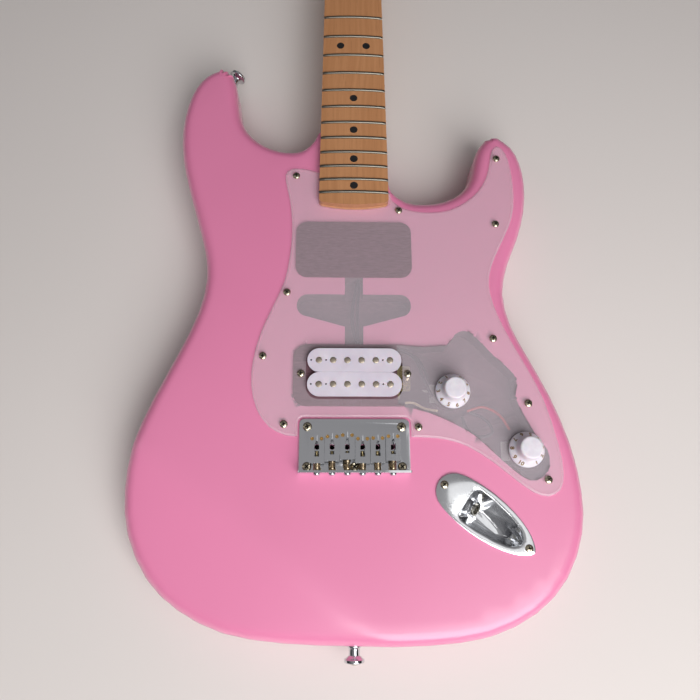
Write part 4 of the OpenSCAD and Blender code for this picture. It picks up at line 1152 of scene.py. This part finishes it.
class GUITAR_OT_pickup(bpy.types.Operator):
    """Builds the open-coil pickup: bobbins, coils, poles, springs and its cable"""

    bl_idname = "guitar.pickup"
    bl_label = "Pickup"

    def execute(self, context):
        self.bobbins()
        self.poles()
        self.coils()
        kept("pickup_magnet", finish("magnet"))
        softened("pickup_baseplate", 0.2, finish("sheet"))
        self.springs()
        self.cable()
        return {"FINISHED"}

    def bobbins(self):
        made = softened("pickup_bobbins", 0, finish("bobbin"))
        low, high = box_mm("pickup_bobbins")
        top = high.z
        poles = sorted({(round((min(p.x for p in g) + max(p.x for p in g)) / 2, 2),
                         round((min(p.y for p in g) + max(p.y for p in g)) / 2, 2))
                        for g in islands("pickup_poles")})
        pitch = (poles[-1][0] - poles[0][0]) / 5
        holes = []
        for y in sorted({p[1] for p in poles}):
            for x in (-3.05 * pitch, -2.0 * pitch, 2.0 * pitch):
                holes.append(moved(lathe([(0, -3), (0.62, -3), (0.62, 1), (0, 1)], 16),
                                   Matrix.Translation((x, y, top))))
        carved(made, holes, finish("tape"))
        made.data.shade_smooth()
        made.data.set_sharp_from_angle(angle=math.radians(30))
        edge = made.modifiers.new("edges", "BEVEL")
        edge.width, edge.segments = 0.5 * MM, 3
        edge.limit_method, edge.angle_limit = "ANGLE", math.radians(40)
        edge.harden_normals = True

    def poles(self):
        parts = []
        for group in islands("pickup_poles"):
            low = Vector([min(p[k] for p in group) for k in range(3)])
            high = Vector([max(p[k] for p in group) for k in range(3)])
            r, h = (high.x - low.x) / 2 - 0.02, high.z - low.z
            profile = [(0, 0), (r, 0), (r, h - 0.35), (r - 0.12, h - 0.12),
                       (r - 0.4, h), (0, h + 0.02)]
            parts.append(moved(lathe(profile, 40), Matrix.Translation(
                ((low.x + high.x) / 2, (low.y + high.y) / 2, low.z))))
        made = piece("pickup_pole_pieces", *joined(parts), finish("pole"),
                     body_name("pickup_poles"), "pole_steel")
        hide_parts("pickup_poles")

    def coils(self):
        made = softened("pickup_coils", 0.4, finish("tape"))
        return made

    def springs(self):
        low, high = box_mm("pickup_springs")
        y, height = (low.y + high.y) / 2, high.z - low.z
        for name, x in (("bass", low.x + 2.6), ("treble", high.x - 2.6)):
            made = moved(coil(2.15, 0.4, height - 0.1, 6),
                         Matrix.Translation((x, y, low.z + 0.05)))
            spring = piece(f"pickup_spring_{name}", *made, finish("spring"), None,
                           "spring_steel")
            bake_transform(spring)
            if name == "bass":
                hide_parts("pickup_springs")

    def cable(self):
        base = box_mm("pickup_baseplate")
        plate_z = box_mm("pickup_magnet")[0].z - 1.2
        y = (base[0].y + base[1].y) / 2
        ear_z = base[0].z
        can = sorted(islands("control_pots"), key=lambda g: g[0].x)[0]
        can_low = min(p.z for p in can)
        can_x = (min(p.x for p in can) + max(p.x for p in can)) / 2 + 2
        can_y = (min(p.y for p in can) + max(p.y for p in can)) / 2
        route = [(14, y - 4, plate_z - 1.8), (22, y - 5, plate_z - 4),
                 (30, y - 6, ear_z - 3.5), (42, y - 7, ear_z - 4.5),
                 (56, y - 9, ear_z - 3), (can_x - 6, can_y + 2, can_low - 1.9)]
        cable = piece("pickup_cable_braided", *tube(smooth_path(route, 8), 1.7, 12),
                      finish("braid"), None, "braided_cable")
        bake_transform(cable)
        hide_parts("pickup_cable")


# ---- Controls

class GUITAR_OT_controls(bpy.types.Operator):
    """Builds the numbered knobs, the controls, their nuts and the capacitor"""

    bl_idname = "guitar.controls"
    bl_label = "Controls"

    def execute(self, context):
        height = context.scene.guitar_sizes.numeral_height / MM
        self.knob("volume", math.radians(115), height)
        self.knob("tone", math.radians(301), height)
        kept("control_pots", finish("can"))
        softened("panel_nuts", 0.25, finish("chrome"))
        softened("tone_capacitor", 0.8, finish("capacitor"))
        return {"FINISHED"}

    def knob(self, which, first, height):
        node = f"{which}_knob"
        body = body_name(node)
        low, high = box_mm(node)
        centre = (low + high) / 2
        r = (high.x - low.x) / 2
        z0 = high.z - 14
        skirt = [(0, 3.2), (r * 0.5, 3.2), (r * 0.94, 0.5), (r * 0.985, 0),
                 (r, 0.12), (r, 1.2), (r * 0.995, 1.55), (r * 0.98, 1.9),
                 (r * 0.92, 2.55), (r * 0.80, 3.9), (r * 0.74, 4.6), (r * 0.70, 5.2),
                 (r * 0.675, 5.9), (r * 0.66, 6.6), (r * 0.645, 9), (r * 0.632, 12.4),
                 (r * 0.625, 13.1), (r * 0.60, 13.65), (r * 0.565, 13.95),
                 (r * 0.5, 14.0), (0, 13.98)]
        made = piece(f"{which}_knob_moulded",
                     *moved(lathe(skirt, 96), Matrix.Translation(
                         (centre.x, centre.y, z0))),
                     finish("knob"), body, "white_knob", smooth=50)
        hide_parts(node)
        shaft = lathe([(0, -10), (3, -10), (3, 4), (0, 4)], 32)
        piece(f"{which}_shaft", *moved(shaft, Matrix.Translation(
            (centre.x, centre.y, z0))), finish("can"), body, "pot_can")
        parts = []
        for n in range(10):
            part = numeral(str(n + 1), height)
            angle = first + math.radians(33.5) * n
            parts.append(self.on_skirt(part, angle, centre, r, z0))
        piece(f"{which}_numerals", *joined(parts), finish("numeral"), body,
              "white_knob")

    def on_skirt(self, part, angle, centre, r, z0):
        """Wraps a flat numeral round the skirt, its top towards the cap."""
        points, faces = part
        made = []
        out0, z_out = r * 0.98, 1.9
        out1, z_in = r * 0.74, 4.6
        slope = Vector((out1 - out0, z_in - z_out))
        length = slope.length
        slope.normalize()
        normal = Vector((-slope.y, slope.x)) * -1
        if normal.y < 0:
            normal = -normal
        for p in points:
            s = length / 2 + p.y
            flat = Vector((out0, z_out)) + slope * s + normal * (0.02 + p.z)
            a = angle + p.x / (out0 + slope.x * s)
            made.append((centre.x + flat.x * math.cos(a),
                         centre.y + flat.x * math.sin(a), z0 + flat.y))
        return made, faces


def numeral(text, height):
    """A printed numeral as a thin mesh, centred, with its top towards +Y."""
    curve = bpy.data.curves.new("numeral", "FONT")
    curve.body, curve.size = text, height / 0.70
    curve.align_x, curve.align_y = "CENTER", "CENTER"
    curve.extrude, curve.offset = 0.03, 0.13
    curve.resolution_u = 4
    item = bpy.data.objects.new("numeral", curve)
    bpy.context.scene.collection.objects.link(item)
    graph = bpy.context.evaluated_depsgraph_get()
    graph.update()
    mesh = bpy.data.meshes.new_from_object(item.evaluated_get(graph))
    points = [Vector(v.co) for v in mesh.vertices]
    middle = (max(p.y for p in points) + min(p.y for p in points)) / 2
    across = (max(p.x for p in points) + min(p.x for p in points)) / 2
    points = [p - Vector((across, middle, 0)) for p in points]
    faces = [list(f.vertices) for f in mesh.polygons]
    bpy.data.objects.remove(item)
    bpy.data.curves.remove(curve)
    bpy.data.meshes.remove(mesh)
    return points, faces


# ---- Jack, strap buttons and wires

def polar(loop, centre, count):
    """A closed outline as points at even angles round a centre."""
    made = []
    for k in range(count):
        ray = Vector((math.cos(TURN * k / count), math.sin(TURN * k / count)))
        reach = 0.0
        for a, b in zip(loop, loop[1:] + loop[:1]):
            p, q = a - centre, b - a
            cross = ray.x * q.y - ray.y * q.x
            if abs(cross) < 1e-9:
                continue
            along = (p.x * q.y - p.y * q.x) / cross
            where = (p.x * ray.y - p.y * ray.x) / cross
            if 0 <= where <= 1 and along > reach:
                reach = along
        made.append(centre + ray * reach)
    return made


class GUITAR_OT_jack_cup(bpy.types.Operator):
    """Builds the boat-shaped jack cup: a rounded flange and a smooth trough"""

    bl_idname = "guitar.jack_cup"
    bl_label = "Jack cup"

    def execute(self, context):
        low, high = box_mm("jack_cup")
        top, base = high.z, BODY_TOP + 0.02
        outer, mouth = section("jack_cup", (top + BODY_TOP) / 2)[:2]
        outer = clockwise(smooth_loop(thinned(outer, 1.5), 2))
        floor = section("jack_cup", low.z + 2.0)[-1]
        centre = sum(floor, Vector((0, 0))) / len(floor)
        axis = max(((a - b) for a in mouth for b in mouth), key=lambda d: d.length)
        middle = (max(mouth, key=lambda p: p.dot(axis))
                  + min(mouth, key=lambda p: p.dot(axis))) / 2
        heavy = sum(polar(mouth, middle, 60), Vector((0, 0))) / 60
        axis = (axis if (middle - heavy).dot(axis) > 0 else -axis).normalized()
        count = 96
        lip = polar(mouth, centre, count)
        keel = [centre + axis * (p - centre).dot(axis)
                + 0.3 * ((p - centre) - axis * (p - centre).dot(axis))
                for p in polar(floor, centre, count)]
        inset = [[p + inward(outer, i) * d for i, p in enumerate(outer)]
                 for d in (0.0, 0.0, 0.15, 0.5)]
        rounds = wall(list(zip(inset, (base, top - 0.45, top - 0.12, top))))
        grown = [[p + (p - centre).normalized() * d for p in lip]
                 for d in (0.8, 0.25, 0.0)]
        rings = list(zip(grown, (top, top - 0.25, top - 0.8)))
        steps, deep = 14, top - 0.8 - (low.z + 1.4)
        for k in range(1, steps + 1):
            s = math.sin(math.pi / 2 * k / steps)
            ring = []
            for p, q in zip(lip, keel):
                ahead = (p - centre).normalized().dot(axis)
                bow = 0.8 * min(max((ahead + 0.65) / 0.5, 0), 1)
                share = (1 - bow) * (1 - s) + bow * math.sqrt(max(1 - s * s, 0))
                ring.append(q + (p - q) * share)
            rings.append((ring, top - 0.8 - deep * s))
        bowl = wall(rings)
        last = rings[-1]
        bottom = ([(p.x, p.y, last[1]) for p in last[0]], [list(range(count))])
        cup = piece("jack_cup_pressed", *joined([
            rounds, sheet(inset[3], [grown[0]], top), bowl, bottom]),
            finish("pressing"), slot="chrome", smooth=50)
        welded(cup.data)
        for face in cup.data.polygons:
            if face.center.z / MM > top - 0.01 and face.normal.z < 0:
                cup.data.flip_normals()
                break
        cup.data.shade_smooth()
        cup.data.set_sharp_from_angle(angle=math.radians(38))
        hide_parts("jack_cup")
        return {"FINISHED"}


class GUITAR_OT_fittings(bpy.types.Operator):
    """Finishes the output jack, the strap buttons and the neck plate's screws"""

    bl_idname = "guitar.fittings"
    bl_label = "Fittings"

    def execute(self, context):
        softened("output_jack", 0.15, finish("contact"))
        softened("strap_buttons", 0.35, finish("chrome"), sides=3)
        softened("neck_plate_screws", 0.15, finish("chrome"))
        return {"FINISHED"}


class GUITAR_OT_wires(bpy.types.Operator):
    """Builds the sleeved wires that show through the pickguard"""

    bl_idname = "guitar.wires"
    bl_label = "Wires"

    def execute(self, context):
        routes = [
            ("black_wire", 8.2, 1.1, [
                (-16, 134), (-6, 136), (1, 130), (4, 118), (3, 100), (3, 84),
                (3.4, 74), (4.8, 68.6), (9, 65.4), (20, 65.1), (36, 65.1), (47, 61),
                (54, 50), (58.2, 36)]),
            ("black_wire", 4.6, 1.3, [
                (4, 148), (5, 138), (5, 128), (2, 116), (-1, 98), (-1, 84), (1, 74),
                (4.8, 68.4), (11, 65.2), (22, 65.1), (35, 65.1), (46, 59), (52, 44),
                (58.2, 29)]),
            ("red_wire", 4.0, 1.0, [(84, 18), (96, 21), (108, 15), (115, 4)]),
            ("black_wire", 5.0, 1.2, [(80, 14), (84, 4), (92, -1), (102, 2), (100, 9),
                                      (94, 14), (86, 17)]),
            ("cream_wire", 4.0, 1.0, [(62, 18), (52, 20), (44, 24), (38, 24)]),
        ]
        for k, (kind, below, radius, points) in enumerate(routes):
            path = smooth_path([(x, y, BODY_TOP - below) for x, y in points], 7)
            made = piece(f"hookup_wire_{k + 1}", *tube(path, radius, 12),
                         finish(kind), "instrument", "wire_sleeve")
            if k == 0:
                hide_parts("hookup_wires")
        return {"FINISHED"}


# ---- Stage

CAMERA_AT = Vector((-14.43, -66.49, 497.44))
CAMERA_PITCH, CAMERA_YAW, CAMERA_ROLL = (math.radians(a) for a in (73.92, 4.96, 5.06))
CAMERA_LENS = 32.13


class GUITAR_OT_stage(bpy.types.Operator):
    """Sets the camera, the pale floor and the soft lights"""

    bl_idname = "guitar.stage"
    bl_label = "Stage"

    def execute(self, context):
        scene = context.scene
        scene.view_settings.view_transform = "Standard"
        self.camera(scene)
        self.floor(scene)
        self.lights(scene)
        return {"FINISHED"}

    def camera(self, scene):
        a, b, r = CAMERA_PITCH, CAMERA_YAW, CAMERA_ROLL
        ahead = Vector((math.sin(b) * math.cos(a), math.cos(b) * math.cos(a),
                        -math.sin(a)))
        right = Vector((math.cos(b), -math.sin(b), 0))
        up = right.cross(ahead)
        right, up = (right * math.cos(r) + up * math.sin(r),
                     up * math.cos(r) - right * math.sin(r))
        lens = bpy.data.cameras.new("camera")
        lens.lens, lens.sensor_width = CAMERA_LENS, 36
        lens.clip_start, lens.clip_end = 0.02, 50
        item = bpy.data.objects.new("camera", lens)
        turn = Matrix((right, up, -ahead)).transposed().to_4x4()
        item.matrix_world = Matrix.Translation(CAMERA_AT * MM) @ turn
        scene.collection.objects.link(item)
        scene.camera = item

    def floor(self, scene):
        colour = hex_of(scene.guitar_colours.floor)
        half, z = 4.0, CAD_BOX[0].z - 0.0005
        mesh = bpy.data.meshes.new("floor")
        mesh.from_pydata([(-half, -half, z), (half, -half, z), (half, half, z),
                          (-half, half, z)], [], [[0, 1, 2, 3]])
        mesh.materials.append(studio_floor(colour, "#D6CFCB"))
        item = bpy.data.objects.new("floor", mesh)
        scene.collection.objects.link(item)

    def lights(self, scene):
        world = bpy.data.worlds.new("studio")
        scene.world = world
        world.use_nodes = True
        tree = world.node_tree
        back = tree.nodes["Background"]
        ahead = add(tree, "ShaderNodeTexCoord").outputs["Generated"]
        split = add(tree, "ShaderNodeSeparateXYZ", {0: ahead})
        ramp = add(tree, "ShaderNodeValToRGB", {0: split.outputs["Z"]})
        stops = ramp.color_ramp.elements
        stops[0].position, stops[0].color = 0.0, srgb("#5A585C")
        stops[1].position, stops[1].color = 1.0, srgb("#EFEEF0")
        for place, colour in ((0.30, "#3C3A3E"), (0.62, "#8F8E93")):
            stops.new(place).color = srgb(colour)
        tree.links.new(ramp.outputs[0], back.inputs["Color"])
        back.inputs["Strength"].default_value = 0.40
        for name, place, target, size, power in (
                ("key", (0.38, -0.82, 0.95), (0, -0.08, 0), (1.1, 1.1), 22),
                ("fill", (0.62, 0.0, 1.5), (0.12, -0.05, 0), (0.55, 0.8), 1.0),
                ("strip", (-1.7, 0.2, 0.9), (-0.05, 0.1, 0), (0.3, 1.8), 1.6)):
            lamp = bpy.data.lights.new(name, "AREA")
            lamp.shape, lamp.size, lamp.size_y = "RECTANGLE", *size
            lamp.energy = power
            item = bpy.data.objects.new(name, lamp)
            item.location = place
            item.rotation_mode = "QUATERNION"
            item.rotation_quaternion = (Vector(target) - Vector(place)) \
                .to_track_quat("-Z", "Y")
            scene.collection.objects.link(item)


class GUITAR_PT_parts(bpy.types.Panel):
    """Lists the guitar's sizes, colours and parts"""

    bl_idname = "GUITAR_PT_parts"
    bl_label = "Guitar"
    bl_space_type = "VIEW_3D"
    bl_region_type = "UI"
    bl_category = "Guitar"

    def draw(self, context):
        for group in (context.scene.guitar_sizes, context.scene.guitar_colours):
            for name in group.__annotations__:
                self.layout.prop(group, name)
        for one in OPERATORS:
            self.layout.operator(one.bl_idname)


OPERATORS = (GUITAR_OT_stage, GUITAR_OT_body, GUITAR_OT_pickguard, GUITAR_OT_neck,
             GUITAR_OT_screws, GUITAR_OT_bridge, GUITAR_OT_pickup,
             GUITAR_OT_controls, GUITAR_OT_jack_cup, GUITAR_OT_fittings,
             GUITAR_OT_wires)
CLASSES = (GuitarSizes, GuitarColours, *OPERATORS, GUITAR_PT_parts)


def register():
    for one in CLASSES:
        bpy.utils.register_class(one)
    bpy.types.Scene.guitar_sizes = bpy.props.PointerProperty(type=GuitarSizes)
    bpy.types.Scene.guitar_colours = bpy.props.PointerProperty(type=GuitarColours)


def unregister():
    del bpy.types.Scene.guitar_colours
    del bpy.types.Scene.guitar_sizes
    for one in reversed(CLASSES):
        bpy.utils.unregister_class(one)


def main():
    register()
    for one in OPERATORS:
        group, name = one.bl_idname.split(".")
        getattr(getattr(bpy.ops, group), name)()


if __name__ == "__main__":
    main()
